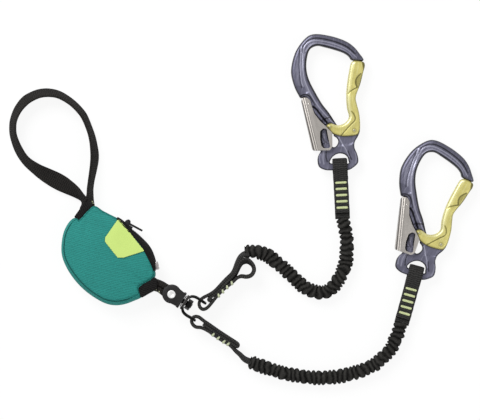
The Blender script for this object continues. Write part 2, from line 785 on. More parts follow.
# Webbing on edge: x, y in pixels and the lean in degrees, if any, from the sleeve round the bail's bar to the tail
ARM_STRAP = {
    "upper": [
        (249.0, 253.0, 14), (244.8, 253.8, 13), (241.4, 255.7, 10), (238.6, 259.0, 6), (236.5, 263.4, 4),
        (235.1, 267.4, 4), (233.7, 270.7, 4), (231.4, 273.9, 2), (226.2, 278.7), (221.1, 284.1), (218.0, 287.5),
        (214.6, 290.9), (211.1, 293.4), (207.6, 295.3), (204.0, 297.1), (201.4, 298.9), (199.6, 301.4),
        (199.2, 304.4), (200.2, 307.2), (202.6, 309.0), (205.4, 308.7), (208.4, 306.5), (211.7, 302.7),
        (214.8, 298.7), (218.9, 293.9), (224.0, 288.9), (229.0, 285.0), (233.8, 280.9), (237.0, 277.9),
        (241.2, 276.1, -4), (246.6, 276.6, -5), (251.3, 275.0, -5), (253.9, 270.6, -5), (253.2, 266.0, -7),
        (249.7, 262.0, -13), (245.5, 260.5, -20), (241.2, 262.7, -15), (238.6, 267.2, -9), (236.9, 271.2, -8),
        (234.2, 275.6, -9), (228.8, 281.2, -8), (223.3, 286.2, -3), (220.1, 289.4), (216.6, 292.8), (212.7, 295.7),
        (210.0, 297.4), (208.7, 299.2), (209.8, 300.6), (211.9, 298.2),
    ],
    "lower": [
        (251.0, 361.4, 14), (247.2, 360.2, 14), (243.6, 358.0, 11), (240.1, 354.3, 7), (236.0, 350.8, 4),
        (232.3, 347.0, 1), (229.2, 344.2), (225.8, 342.2), (220.8, 339.3), (216.8, 336.4), (212.8, 333.8),
        (209.6, 331.5), (206.4, 329.6), (203.4, 328.1), (200.2, 327.2), (197.2, 327.0), (194.8, 326.1),
        (192.8, 324.0), (191.7, 321.5), (191.9, 318.9), (193.5, 317.0), (196.0, 316.3), (198.5, 316.8),
        (200.5, 318.0), (204.2, 320.9), (209.1, 324.2), (214.1, 327.7), (219.1, 331.2), (224.1, 334.5),
        (229.1, 337.7), (234.2, 341.0), (236.9, 342.9), (238.3, 344.5), (237.6, 346.2), (235.6, 345.7),
        (232.6, 343.4), (227.5, 340.1), (222.5, 336.9), (217.5, 333.6), (212.5, 330.1), (207.5, 326.6),
        (203.2, 323.7),
    ],
}  # fmt: skip
ARM_WIDTH = 0.014
ARM_THICKNESS = 0.0030
EDGE_TACKS = {
    "upper": [(219.2, 296.6), (223.4, 292.5), (227.6, 288.3), (232.3, 284.2)],
    "lower": [(212.2, 335.3), (217.3, 338.7), (222.9, 342.4), (227.2, 344.6)],
}
# Which way the stitches run outwards over the edge, in pixels
EDGE_TACK_WAYS = {"upper": (0.25, 1.0), "lower": (-0.7, 0.75)}
# Points of a stitch over an edge, from below: how far out from the straps' face, and over their top edge
OVER_EDGE = [
    (0.0002, -0.0115), (0.0002, -0.009), (0.0002, -0.006), (0.0002, -0.003), (0.0002, -0.0012), (0.0001, -0.0001),
    (-0.0012, 0.0003), (-0.0033, 0.0001),
]  # fmt: skip
# Half a stitch's width, and half its thickness
STITCH_HALF, STITCH_BULGE = 0.00105, 0.0005
END_WIDTH, END_THICKNESS, END_BEND = 0.0136, 0.0024, 0.0061
# The end webbing's lower and upper layer: how far from the eye's bar their points are
END_UNDER, END_OVER = (0.048, 0.042, 0.034, 0.026, 0.019, 0.0145), (0.0145, 0.019, 0.026, 0.034, 0.0425)
END_OPENING = math.radians(58)
END_TURN = {"upper": math.radians(3.0), "lower": math.radians(4.4)}
BAR_TACKS, BAR_TACK_START, BAR_TACK_PITCH, BAR_TACK_LENGTH = 5, 0.01445, 0.0058, 0.0104


def over_edge_tack(place, outward):
    """A lime stitch standing down the straps' outer face at a place and bent over their top edge."""
    along = Vector((-outward.y, outward.x, 0)) * STITCH_HALF
    lifts = [outward] * 5 + [(outward + UP).normalized(), UP, UP]
    rings = []
    for (reach, rise), lift, swell in zip(OVER_EDGE, lifts, [0.6, *[1.0] * 6, 0.6]):
        point = place + outward * reach + UP * rise
        rings.append([point + (along * c + lift * STITCH_BULGE * s) * swell for c, s in round_turn(10)])
    return swept(rings)


def edge_tacks(arm):
    x, y = EDGE_TACK_WAYS[arm]
    outward = Vector((x, -y, 0)).normalized()
    places = [layout(place, BELT_MIDDLE + ARM_WIDTH / 2) for place in EDGE_TACKS[arm]]
    return joined(*(over_edge_tack(place, outward) for place in places))


def end_frame(arm):
    """Where the eye's bar stands, the way the webbing leaves it towards the sleeve, and the way across."""
    nod = JOINTS[f"{arm}_carabiner_nod"]
    axis = Vector(nod["axis"])
    away = Matrix.Rotation(END_TURN[arm], 3, "Z") @ Vector((axis.y, -axis.x, 0)).normalized()
    return Vector(nod["pos_m"]), away, Vector((-away.y, away.x, 0))


def end_strap(arm):
    """Webbing from the sleeve under the eye's bar, round it and back on top."""
    bar, away, across = end_frame(arm)
    layer = END_THICKNESS / 2 + 0.0001
    line = [(along, -layer * (0.7 if along == END_UNDER[0] else 1.0)) for along in END_UNDER]
    line.append((0.0100, -0.0030))
    for i in range(15):
        at = -END_OPENING - (math.tau - 2 * END_OPENING) * i / 14
        line.append((END_BEND * math.cos(at) * (1.0 if math.cos(at) > 0 else 1.16), END_BEND * math.sin(at)))
    line.append((0.0100, 0.0030))
    line += [(along, layer) for along in END_OVER]
    rows = [bar + away * along + UP * rise for along, rise in line]
    return strap(evenly(rows, 110, 6), END_WIDTH, END_THICKNESS, across=across)


def bar_tacks(arm):
    """Five dense lime bars across the webbing's flat end."""
    bar, away, across = end_frame(arm)
    bars = []
    for i in range(BAR_TACKS):
        middle = bar + away * (BAR_TACK_START + i * BAR_TACK_PITCH) + UP * (END_THICKNESS + 0.0002)
        skew = away * 0.0003 * noise.noise(Vector((i * 3.1, 2, 0)))
        points = [middle + (across * BAR_TACK_LENGTH + skew) * (k / 22 - 0.5) for k in range(23)]
        bars.append(tack(points, away, 0.00122, 0.0006))
    return joined(*bars)


def make_arm(arm, sizes, finishes):
    """Sleeve, elastic, straps and stitches of one arm."""
    body, end = f"{arm}_arm", f"{arm}_arm_end"
    mesh, path, length = gathered_sleeve(arm, getattr(sizes, f"{arm}_gathers"), sizes.gather_depth)
    sleeve = piece(mesh, f"{arm}_arm_sleeve_cloth", finishes["sleeve"], body, "arm_webbing", f"{arm}_arm_sleeve")
    mesh = elastic_core(arm)
    core = piece(mesh, f"{arm}_arm_elastic_core", finishes["elastic"], body, "elastic", f"{arm}_arm_elastic")
    start, stop = (tuple(layout(point, CARABINER_MIDDLE)) for point in SLEEVE_BENDS[arm])
    for cloth in (sleeve, core):
        cloth.parent = None
        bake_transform(cloth)
    # One strap: down from the sleeve, round the bail's bar, back, round the rest loop and sewn between
    rows = evenly([(*layout((x, y))[:2], BELT_MIDDLE, lean) for x, y, lean in filled(ARM_STRAP[arm])], 260, 6)
    bars = finishes["thread_across"][arm]
    for name, mesh, finish, rider, slot, node in (
        ("arm_webbing", strap(rows, ARM_WIDTH, ARM_THICKNESS), finishes["arm"], body, "arm_webbing", "arm_strap"),
        ("arm_stitches", edge_tacks(arm), finishes["thread"], body, "lime_thread", "arm_tacks"),
        ("end_webbing", end_strap(arm), finishes["arm"], end, "arm_webbing", "end_strap"),
        ("end_stitches", bar_tacks(arm), bars, end, "lime_thread", "end_tacks"),
    ):
        piece(mesh, f"{arm}_{name}", finish, rider, slot, f"{arm}_{node}")


# Harness loop

HARNESS_WIDTH = 0.016
HARNESS_TACKS = [(93.6, 203.6), (94.4, 205.6), (92.8, 201.7)]
HARNESS_THICKNESS = 0.0023
HARNESS_LAYER_RISE = 0.0017
HARNESS_TACK_RISE = 0.0044
# Rows are x, y in pixels, the share of the middle plane's height, the share of the layers' rise and the lean
HARNESS_ROUTE = [
    (92.4, 222.2, 1.0, 1.0, 90), (90.2, 216.8, 1.0, 1.0, 90), (88.9, 211.4, 1.0, 1.0, 78),
    (89.2, 206.4, 1.0, 0.9, 46), (90.0, 201.4, 1.0, 0.5, 27), (90.4, 195.4, 0.96, 0.2, 17),
    (90.4, 189.0, 0.92, 0.0, 15), (91.4, 180.5, 0.86, 0.0, 15), (93.2, 170.0, 0.80, 0.0, 18.5),
    (94.5, 160.0, 0.78, 0.0, 22), (94.6, 152.5, 0.78, 0.0, 22), (93.7, 144.5, 0.78, 0.0, 19),
    (92.1, 137.0, 0.78, 0.0, 17), (89.8, 129.8, 0.78, 0.0, 15.5), (86.3, 121.0, 0.78, 0.0, 16),
    (81.8, 112.9, 0.80, 0.0, 18), (72.6, 103.1, 0.80, 0.0, 19), (60.5, 95.4, 0.82, 0.0, 23),
    (50.0, 93.0, 0.82, 0.0, 28), (40.0, 93.6, 0.82, 0.0, 31), (31.3, 96.9, 0.81, 0.0, 33),
    (24.6, 101.4, 0.80, 0.0, 34), (18.2, 109.4, 0.78, 0.0, 30), (14.0, 119.0, 0.78, 0.0, 26),
    (12.8, 127.5, 0.78, 0.0, 25), (13.9, 137.0, 0.78, 0.0, 25), (19.0, 150.0, 0.76, 0.0, 29),
    (26.2, 160.8, 0.72, 0.0, 31), (36.4, 169.0, 0.66, 0.0, 41), (46.7, 175.3, 0.62, 0.0, 58),
    (58.2, 181.5, 0.66, -0.2, 72), (68.0, 187.0, 0.76, -0.4, 56), (76.3, 192.2, 0.88, -0.5, 38),
    (83.0, 198.4, 0.98, -0.6, 22), (86.0, 203.4, 1.0, -0.8, 34), (87.2, 208.4, 1.0, -1.0, 66),
    (88.6, 213.0, 1.0, -1.0, 88), (90.2, 217.2, 1.0, -1.0, 90), (92.4, 222.2, 1.0, -1.0, 90),
]  # fmt: skip


def make_harness(finishes):
    rows = []
    for x, y, height_share, layer_share, lean in HARNESS_ROUTE:
        height = BELT_MIDDLE * height_share + HARNESS_LAYER_RISE * layer_share
        rows.append((*layout((x, y))[:2], height, lean))
    mesh = strap(evenly(rows, 220), HARNESS_WIDTH, HARNESS_THICKNESS, 0.0002)
    piece(mesh, "harness_webbing", finishes["harness"], "pouch", "black_webbing", "harness_loop")
    mesh = tacks(HARNESS_TACKS, BELT_MIDDLE + HARNESS_TACK_RISE, (0.0005, 0.0012, 0), (0.92, -0.38, 0), 0.00045, 0.0004)
    piece(mesh, "harness_stitches", finishes["thread"], "pouch", "lime_thread")


# Pouch

# Heights of the two shells over the belt's middle plane, and what their cloth and the patch measure through
FRONT_HEIGHT, BACK_HEIGHT = 0.0265 - BELT_MIDDLE, 0.0002 - BELT_MIDDLE
SHELL_WALL, PATCH_THICKNESS, TAPE_THICKNESS = 0.0012, 0.0010, 0.0007
CROWN_POWER = 2.3
POUCH_MIDDLE_PX = (108.5, 256.0)
ZIP_CENTRE_PX = (100.0, 277.0)
# Rows are x, y in pixels and how far the seam lies inside that place of the outline
POUCH_OUTLINE = [
    (79.0, 219.2, 2.2), (84.2, 214.6, 2.0), (89.4, 209.8, 1.6), (95.2, 205.9, 1.4), (102.8, 210.6, 1.2),
    (110.6, 214.6, 1.2), (118.6, 218.8, 1.2), (123.9, 224.0, 1.2), (129.6, 230.0, 1.2), (135.6, 236.6, 1.2),
    (141.4, 242.8, 1.2), (146.6, 250.2, 1.2), (150.4, 257.8, 1.2), (153.6, 266.2, 1.4), (155.6, 271.6, 2.0),
    (155.4, 276.6, 2.4), (150.8, 281.0, 2.6), (144.8, 285.2, 2.8), (140.6, 288.8, 3.0), (140.9, 292.4, 3.4),
    (141.8, 295.4, 3.8), (140.8, 297.8, 4.0), (134.0, 300.8, 4.0), (125.5, 303.9, 4.2), (116.0, 305.2, 4.4),
    (106.0, 303.4, 4.4), (95.0, 297.6, 4.2), (84.0, 289.4, 4.2), (74.0, 278.6, 4.2), (66.2, 266.2, 4.0),
    (62.2, 255.0, 3.6), (61.9, 243.8, 3.4), (64.0, 232.2, 3.4), (68.2, 223.6, 3.4), (72.6, 218.9, 3.0),
    (75.8, 217.8, 2.4),
]  # fmt: skip
# How far in from the outline, in shares of the seam's distance, and how high in shares of the shell's height
FRONT_SHARES = [
    (0.0, 0.0), (0.03, 0.14), (0.08, 0.28), (0.18, 0.42), (0.36, 0.55), (0.60, 0.66), (0.78, 0.73), (0.88, 0.745),
    (0.95, 0.715), (1.03, 0.700), (1.11, 0.735), (1.22, 0.785),
]  # fmt: skip
BACK_SHARES = [(0.0, 0.0), (0.06, 0.22), (0.22, 0.46), (0.55, 0.68), (1.1, 0.85), (1.9, 0.96), (2.8, 1.0)]
CROWN_RINGS = 22
# The seam shows between these turns about the pouch's middle
SEAM_TURNS = (134.0, 304.0)
# Where the cuffs pull at the cloth, in pixels, and how far that reaches
PULLS = (((87.2, 211.9), 0.030), ((147.0, 283.0), 0.026))


def shell_rings(height, shares, crown):
    """Rings from the rim in over the seam, and then over the panel to its middle."""
    middle = layout(POUCH_MIDDLE_PX)
    outline = [(layout(row), max(row[2], 0.8) * PIXEL) for row in made_smooth(POUCH_OUTLINE, 5, closed=True)]
    stations = [(reach, 1.0, rise) for reach, rise in shares]
    edge, start = shares[-1]
    for k in range(1, CROWN_RINGS):
        share = 1 - k / CROWN_RINGS
        stations.append((edge, share, start + (1 - start) * (1 - share**crown) if crown else start))
    rings = []
    for reach, share, rise in stations:
        ring = []
        for place, seam in outline:
            arm = place - middle
            point = middle + arm * (1 - reach * seam / arm.length) * share
            ring.append(Vector((point.x, point.y, BELT_MIDDLE + height * rise)))
        rings.append(ring)
    return rings


def panel_wrinkles(point):
    """How much the cloth lifts at a place: slack waves, and pulls that run out from the two cuffs."""
    lift = noise.noise(point * 42 + Vector((0, 0, 3))) * 0.6 + noise.noise(point * 95) * 0.25
    for cuff, reach in PULLS:
        place = layout(cuff)
        arm = point - Vector((place.x, place.y, point.z))
        fade = max(0.0, 1 - arm.length / reach)
        lift += math.sin(math.atan2(arm.y, arm.x) * 9 + 1.3 * noise.noise(point * 60)) * fade * 0.8
    return lift


def make_shell(node, height, shares, crown, wrinkles, finish):
    """One half of the pouch, domed by the crown's power or flat without one."""
    rings = shell_rings(height, shares, crown)
    middle = layout(POUCH_MIDDLE_PX)
    first, last = SEAM_TURNS
    crest = []
    for i, ring in enumerate(rings):
        reach = shares[i][0] if i < len(shares) else 2.0
        dark = 1.0 if 0.93 < reach < 1.08 else 0.65 if 0.85 < reach < 1.15 else 0.0
        turns = [math.degrees(math.atan2(p.y - middle.y, p.x - middle.x)) % 360 for p in ring]
        crest.append([1.0 - dark * eased(min(turn - first, last - turn), 0.0, 12.0) for turn in turns])
    mesh = swept(rings, crest=crest)
    rim = [f for f in mesh.faces if all(abs(v.co.z - BELT_MIDDLE) < MERGE for v in f.verts)]
    bmesh.ops.delete(mesh, geom=rim, context="FACES_ONLY")
    bmesh.ops.poke(mesh, faces=[f for f in mesh.faces if len(f.verts) > 8])
    for vert in mesh.verts:
        rise = (vert.co.z - BELT_MIDDLE) / height
        if wrinkles and rise > 0.3:
            lift = panel_wrinkles(vert.co) * wrinkles * min((rise - 0.3) * 2.5, 1.0)
            vert.co.z = min(vert.co.z + lift, BELT_MIDDLE + height)
    made = piece(faced(mesh, height), f"{node}_panel", finish, "pouch", "teal_cloth", node)
    modified(made, "SOLIDIFY", thickness=SHELL_WALL, offset=-1)
    return made


PATCH_CORNERS_PX = [(118.9, 219.4), (105.0, 239.6), (120.0, 258.4), (144.8, 250.6), (132.0, 235.6)]
PATCH_ROUNDING = [0.10, 0.16, 0.20, 0.03, 0.3]


def patch_outline():
    """The patch's corners, each cut back along its two sides and rounded."""
    corners = [Vector(corner).to_3d() for corner in PATCH_CORNERS_PX]
    line = []
    for i, (corner, share) in enumerate(zip(corners, PATCH_ROUNDING)):
        start, end = corner.lerp(corners[i - 1], share), corner.lerp(corners[(i + 1) % len(corners)], share)
        line += [start.lerp(corner, step / 8).lerp(corner.lerp(end, step / 8), step / 8) for step in range(9)]
    return [layout(point) for point in line]


def surface_of(made):
    return BVHTree.FromObject(made, bpy.context.evaluated_depsgraph_get())


def met(tree, point, way=1):
    """Where a ray straight down on a place, or up where the way is below 0, meets a surface."""
    return tree.ray_cast(Vector((point.x, point.y, way)), Vector((0, 0, -way)))[0]


def make_patch(front, finish):
    line = patch_outline()
    low, high = (Vector((pick(p.x for p in line), pick(p.y for p in line), 0)) for pick in (min, max))
    matrix = Matrix.Translation((low + high) / 2) @ Matrix.Diagonal((*(high - low)[:2], 1, 1))
    mesh = bmesh.new()
    bmesh.ops.create_grid(mesh, x_segments=70, y_segments=70, size=0.5, matrix=matrix)
    for first, second in zip(line, line[1:] + line[:1]):
        way = second - first
        if way.length > MERGE:
            geom = mesh.verts[:] + mesh.edges[:] + mesh.faces[:]
            inward = Vector((way.y, -way.x, 0))
            bmesh.ops.bisect_plane(mesh, geom=geom, dist=MERGE, plane_co=first, plane_no=inward, clear_outer=True)
    tree = surface_of(front)
    for vert in mesh.verts:
        hit = met(tree, vert.co)
        vert.co.z = hit.z + 0.0001 if hit else BELT_MIDDLE
    for _ in range(2):
        bmesh.ops.smooth_vert(mesh, verts=mesh.verts[:], factor=0.4, use_axis_z=True)
    made = piece(faced(mesh, 1), "bare_patch", finish, "pouch", "lime_patch", "label_patch")
    modified(made, "SOLIDIFY", thickness=PATCH_THICKNESS, offset=1)
    modified(made, "BEVEL", width=0.0003, segments=2, limit_method="ANGLE", angle_limit=math.radians(50))


# Each cuff's outline in pixels and half its height
CUFFS = {
    "top_cuff": (
        [(74.7, 217.0), (80.6, 208.8), (84.4, 202.9), (88.6, 200.6), (95.2, 204.6), (87.8, 213.3), (80.0, 220.8)],
        0.0090,
    ),
    "lower_cuff": (
        [
            (136.4, 287.4), (144.5, 281.6), (153.2, 276.2), (158.4, 280.2), (157.0, 289.2), (149.6, 293.2),
            (142.0, 297.6),
        ],
        0.0104,
    ),
}  # fmt: skip


def make_cuffs(finishes):
    """Folded tape round the webbing at the pouch's two mouths."""
    for node, (outline, half) in CUFFS.items():
        mesh = plate([layout(point) for point in outline], BELT_MIDDLE - half, BELT_MIDDLE + half)
        softened(mesh, 0.0013, 4, math.radians(20))
        piece(mesh, f"{node}_tape", finishes[node], "pouch", "black_trim", node, sharp=50)


# Zip

# Rows are the turn round the zip's centre in degrees and the radii in pixels of the tape's seam and of its teeth
ZIP_BAND = [
    (73.5, 60.6, 62.0), (68.0, 57.6, 60.6), (62.0, 54.8, 58.6), (56.0, 53.2, 56.7), (50.0, 52.5, 56.4),
    (45.0, 52.2, 56.6), (40.0, 52.0, 57.2), (34.0, 51.9, 57.8), (28.0, 51.8, 58.1), (20.0, 52.2, 57.8),
    (14.0, 53.1, 57.4), (11.0, 53.6, 55.6), (6.5, 54.4, 55.6),
]  # fmt: skip
TAPE_SHARES = (0.0, 0.12, 0.26, 0.42, 0.58, 0.76, 0.9, 1.0)
TAPE_RISE = {1: 0.0148, -1: 0.0098}
# The turn in degrees and the radius in pixels, even along the slider's way
TEETH_LINE = [(73.5, 62.0), (68.0, 60.5), (62.0, 58.6), (56.0, 57.4), (50.0, 56.75), (6.5, 56.75)]
TEETH, TEETH_FROM, TEETH_TO = 54, 70.5, 15.5
TOOTH_SIZE = (0.0019, 0.00072, 0.0024)
SLIDER_SCALE = (1.3, 1.3, 1.1)
# The puller is broader than its node across its heading, and turned a little on its hinge
PULLER_HEADING, PULLER_SCALE, PULLER_TURN = math.radians(33), (1.0, 1.3, 1.0), math.radians(-3)
STOP_SHIFT = (0.0002, 0.0001, 0)


def round_zip(turn, radius_px, height=0.0):
    at = math.radians(turn)
    return layout(ZIP_CENTRE_PX) + Vector((math.cos(at), math.sin(at), 0)) * radius_px * PIXEL + UP * height


def zip_tape_half(shell, way):
    """Tape from the shell's seam down or up to the teeth, laid over the shell's side."""
    tree = surface_of(shell)
    lines = []
    for turn, inner, outer in evenly(ZIP_BAND, 70):
        hit = met(tree, round_zip(turn, inner), way)
        seam_height = (hit.z - BELT_MIDDLE) * way if hit else 0.004
        line = []
        for share in TAPE_SHARES:
            place = round_zip(turn, inner + (outer - inner) * share)
            rise = seam_height * (1 - share**1.7) + 0.0011 * share**1.7 + 0.0003
            hit = met(tree, place, way)
            if hit:
                rise = max(rise, (hit.z - BELT_MIDDLE) * way + 0.00025)
            line.append(Vector((place.x, place.y, BELT_MIDDLE + way * min(rise, TAPE_RISE[way]))))
        lines.append(line)
    mesh = bmesh.new()
    row_by_row(mesh, lines, False)
    half = loose(faced(mesh, way), "zip_tape_half")
    return settled(modified(half, "SOLIDIFY", thickness=TAPE_THICKNESS, offset=1))


def teeth_mesh():
    mesh = bmesh.new()
    for i in range(TEETH):
        turn = TEETH_FROM + (TEETH_TO - TEETH_FROM) * i / (TEETH - 1)
        radius = next(b[1] for a, b in zip(TEETH_LINE, TEETH_LINE[1:]) if b[0] <= turn <= a[0])
        place = round_zip(turn, radius, BELT_MIDDLE + (0.0005 if i % 2 else -0.0005))
        matrix = Matrix.LocRotScale(place, Matrix.Rotation(math.radians(turn), 3, "Z"), TOOTH_SIZE)
        made = bmesh.ops.create_cube(mesh, size=1.0, matrix=matrix)["verts"]
        bevelled(mesh, list({e for v in made for e in v.link_edges}), 0.00016, 1)
    return mesh


def make_zip(front, back, finishes):
    tape = joined(zip_tape_half(front, 1), zip_tape_half(back, -1))
    piece(tape, "zip_tape_cloth", finishes["zip_tape"], "pouch", "black_trim", "zip_tape", sharp=60)
    piece(teeth_mesh(), "zip_coil_teeth", finishes["teeth"], "pouch", "zip_teeth", "zip_teeth", sharp=40)
    mesh = softened(merged_copy("zip_slider"), 0.00035)
    middle = sum((v.co for v in mesh.verts), Vector()) / len(mesh.verts)
    bmesh.ops.scale(mesh, vec=SLIDER_SCALE, space=Matrix.Translation(-middle), verts=mesh.verts[:])
    piece(mesh, "zip_slider_body", finishes["black_steel"], "zip_slider", "black_steel", "zip_slider", sharp=50)
    mesh = softened(merged_copy("zip_puller"), 0.0004)
    hinge = Vector(JOINTS["zip_puller_swing"]["pos_m"])
    space = Matrix.Rotation(PULLER_HEADING, 4, "Z") @ Matrix.Translation(-hinge)
    bmesh.ops.scale(mesh, vec=PULLER_SCALE, space=space, verts=mesh.verts[:])
    bmesh.ops.rotate(mesh, cent=hinge, matrix=Matrix.Rotation(PULLER_TURN, 3, "Z"), verts=mesh.verts[:])
    piece(mesh, "zip_puller_bar", finishes["puller"], "zip_puller", "black_steel", "zip_puller", sharp=50)
    mesh = moved(softened(merged_copy("zip_stop"), 0.0005), Matrix.Translation(STOP_SHIFT))
    piece(mesh, "zip_end_stop", finishes["steel"], "pouch", "steel", "zip_stop", sharp=50)


# Absorber and the strap to the swivel

STRAP_ROUTE_PX = [(128.0, 276.6), (137.0, 278.8), (146.0, 281.9), (155.0, 284.6), (160.6, 286.6), (165.6, 290.0)]
STRAP_OFFSETS = (0.0022, 0.0022, 0.0025, 0.0028, 0.0027, 0.0030)
STRAP_WIDTH, STRAP_THICKNESS, STRAP_BEND = 0.0158, 0.0056, 0.0046
STRAP_TACKS = [(156.4, 289.3), (159.6, 291.4)]
STRAP_TACK_RISE = 0.0079


def swivel_strap():
    """Webbing out to the swivel's pin, round it and back."""
    pin = Vector(JOINTS["swivel_fork_turn"]["pos_m"])
    route = [layout(point) for point in STRAP_ROUTE_PX]
    ways = directions([*route, Vector((pin.x, pin.y, 0))])
    sides = [(place, Vector((-way.y, way.x, 0)) * offset) for place, way, offset in zip(route, ways, STRAP_OFFSETS)]
    heading = math.atan2(pin.y - route[-1].y, pin.x - route[-1].x) + math.pi / 2
    line = [place + side for place, side in sides]
    line += [Vector(point) for point in arc(pin, STRAP_BEND, heading - math.pi / 12, heading - math.pi * 11 / 12, 11)]
    line += [place - side for place, side in reversed(sides)]
    rows = evenly([(point.x, point.y, BELT_MIDDLE, 0) for point in line], 90)
    return strap(rows, STRAP_WIDTH, STRAP_THICKNESS)


def make_absorber(finishes):
    mesh = softened(merged_copy("absorber_webbing"), 0.0007)
    piece(mesh, "absorber_folds", finishes["arm"], "pouch", "black_webbing", "absorber_webbing", sharp=50)
    mesh = softened(merged_copy("absorber_retainer"), 0.0003, 2)
    piece(mesh, "absorber_band", finishes["elastic"], "pouch", "elastic", "absorber_retainer", sharp=50)
    piece(swivel_strap(), "swivel_strap_webbing", finishes["arm"], "pouch", "black_webbing", "swivel_strap")
    mesh = tacks(STRAP_TACKS, BELT_MIDDLE + STRAP_TACK_RISE, (0.0004, -0.0013, 0), (0.95, 0.3, 0), 0.0005, 0.0005)
    piece(mesh, "swivel_strap_stitches", finishes["thread"], "pouch", "lime_thread")


# Swivel

SWIVEL_TURN = math.radians(-32.0)
# Places along the swivel's axis, measured from the pin
FORK_BASE, FORK_FLANGE_AT, FORK_FACE, WASHER_AT, YOKE_AT, NUT_AT, NUT_END = (
    0.0070, 0.0092, 0.0118, 0.0121, 0.0132, 0.0163, 0.0211,
)  # fmt: skip
PADDLE_LOW, PADDLE_HIGH = 0.0083, 0.0101
PADDLE_END = FORK_FLANGE_AT + 0.0017
BLOCK_HALF, FLANGE_HALF = 0.0060, 0.0078
NUT_RADIUS, NUT_BORE = 0.0052, 0.0026
CROSSBAR_HALF, CROSSBAR_HEIGHT, CROSSBAR_THICKNESS, CROSSBAR_BORE = 0.0072, 0.0089, 0.0026, 0.0028
BAR_REACH, BAR_SPREAD = 33.5 * PIXEL, 10.0 * PIXEL
WIRE_RADIUS, WIRE_CORNER = 0.00108, 0.0018
# The bows from the crossbar's ends: pixels along the swivel's axis and out from it
BOW_LINE = [(16.4, 5.6), (17.2, 7.2), (18.8, 8.8), (21.2, 9.8), (24.4, 10.2), (28.0, 10.05), (31.0, 10.0)]
# The pin's upper head: distances from its axis and heights over the paddle
PIN_HEAD = [
    (0, 0.0005), (0.0016, 0.00052), (0.0020, 0.0008), (0.0030, 0.0010), (0.0036, 0.0008), (0.0038, 0.0004),
    (0.0038, 0.0002), (0.0022, 0.0001),
]  # fmt: skip
WASHER = [(0.0026, 0), (0.0058, 0), (0.0060, 0.0002), (0.0060, 0.0006), (0.0058, 0.0008), (0.0026, 0.0008), (0.0026, 0)]
EYE_RADIUS, EYE_BORE, AXLE_RADIUS, AXLE_ROOT, THREAD_PITCH = 0.0085, 0.0025, 0.0025, 0.00225, 0.0005
AHEAD = Vector((math.cos(SWIVEL_TURN), math.sin(SWIVEL_TURN), 0))
LEFT = Vector((-AHEAD.y, AHEAD.x, 0))


def swivel_place(along, across=0.0):
    """Measured from the pin along the swivel's axis and to its left."""
    return Vector(JOINTS["swivel_fork_turn"]["pos_m"]) + AHEAD * along + LEFT * across


def swivel_frame(along):
    """Local x across the swivel's axis, local y up, local z along it."""
    return Matrix.Translation(swivel_place(along)) @ Matrix((LEFT, UP, AHEAD)).transposed().to_4x4()


def block(half_width, half_height, low, high, corner, edge, holes=()):
    """A rectangle with rounded corners and edges, from one distance along the swivel's axis to another."""
    x, y = half_width, half_height
    mesh = plate([(-x, -y), (x, -y), (x, y), (-x, y)], 0, high - low, holes)
    outer = [e for e in mesh.edges if upright_edge(e) and abs(abs(e.verts[0].co.x) - x) < MERGE]
    softened(bevelled(mesh, outer, corner, 6), edge, 2, math.radians(60))
    return moved(mesh, swivel_frame(low))


def arc(centre, radius, start, end, count):
    turns = [start + (end - start) * i / (count - 1) for i in range(count)]
    return [(centre[0] + radius * math.cos(t), centre[1] + radius * math.sin(t)) for t in turns]


def circle(centre, radius, count):
    return [(centre[0] + radius * c, centre[1] + radius * s) for c, s in round_turn(count)]


def fork_mesh():
    """Two eyed paddles, the block between them, the flange and the threaded axle."""
    pin = swivel_place(0)
    eye = arc(pin, EYE_RADIUS, SWIVEL_TURN + math.radians(62), SWIVEL_TURN + math.radians(298), 40)
    outline = [swivel_place(PADDLE_END, 0.0066), *eye, swivel_place(PADDLE_END, -0.0070)]
    bore = circle(pin, EYE_BORE, 32)
    parts = []
    for low, high in ((PADDLE_LOW, PADDLE_HIGH + 0.0001), (-PADDLE_HIGH - 0.0001, -PADDLE_LOW)):
        paddle = plate(outline, BELT_MIDDLE + low, BELT_MIDDLE + high, [bore])
        parts.append(softened(paddle, 0.00045, 3, math.radians(50)))
    parts.append(block(BLOCK_HALF, PADDLE_HIGH, FORK_BASE, FORK_FLANGE_AT + 0.0004, 0.001, 0.0003))
    parts.append(block(FLANGE_HALF, PADDLE_HIGH, FORK_FLANGE_AT, FORK_FACE, 0.0022, 0.0004))
    length = NUT_END + 0.0006 - FORK_FACE
    profile = [(0, -0.001), (AXLE_RADIUS, -0.001)]
    for i in range(int((length - 0.001) / THREAD_PITCH)):
        profile += [(AXLE_RADIUS, THREAD_PITCH * i), (AXLE_ROOT, THREAD_PITCH * (i + 0.5))]
    profile += [(0.0021, length), (0.0009, length), (0.0006, length - 0.0006), (0, length - 0.0007)]
    return joined(*parts, lathed(profile, swivel_frame(FORK_FACE), 24))


def nut_mesh():
    """A six-sided nut with turned-down corners."""
    mesh = plate(circle(ORIGIN, NUT_RADIUS, 6), 0, NUT_END - NUT_AT, [circle(ORIGIN, NUT_BORE, 24)])
    return moved(softened(mesh, 0.0005, 3, math.radians(50)), swivel_frame(NUT_AT))


def bail_wire(side):
    """One bow of wire: out along the arm's top, down its bar and back below it."""
    rise = ARM_WIDTH / 2 + 0.0002 + WIRE_RADIUS
    corner = WIRE_CORNER
    top = [(along * PIXEL, across * PIXEL, rise) for along, across in made_smooth(BOW_LINE, 3)]
    turn = [(x, BAR_SPREAD, z) for x, z in arc((BAR_REACH - corner, rise - corner), corner, math.pi / 2, 0, 9)]
    half = top + turn + [(BAR_REACH, BAR_SPREAD, rise * share) for share in (0.6, 0.3)]
    line = half + [(BAR_REACH, BAR_SPREAD, 0)] + [(x, y, -z) for x, y, z in reversed(half)]
    return wire([swivel_place(along, side * across) + UP * height for along, across, height in line], WIRE_RADIUS, 16)


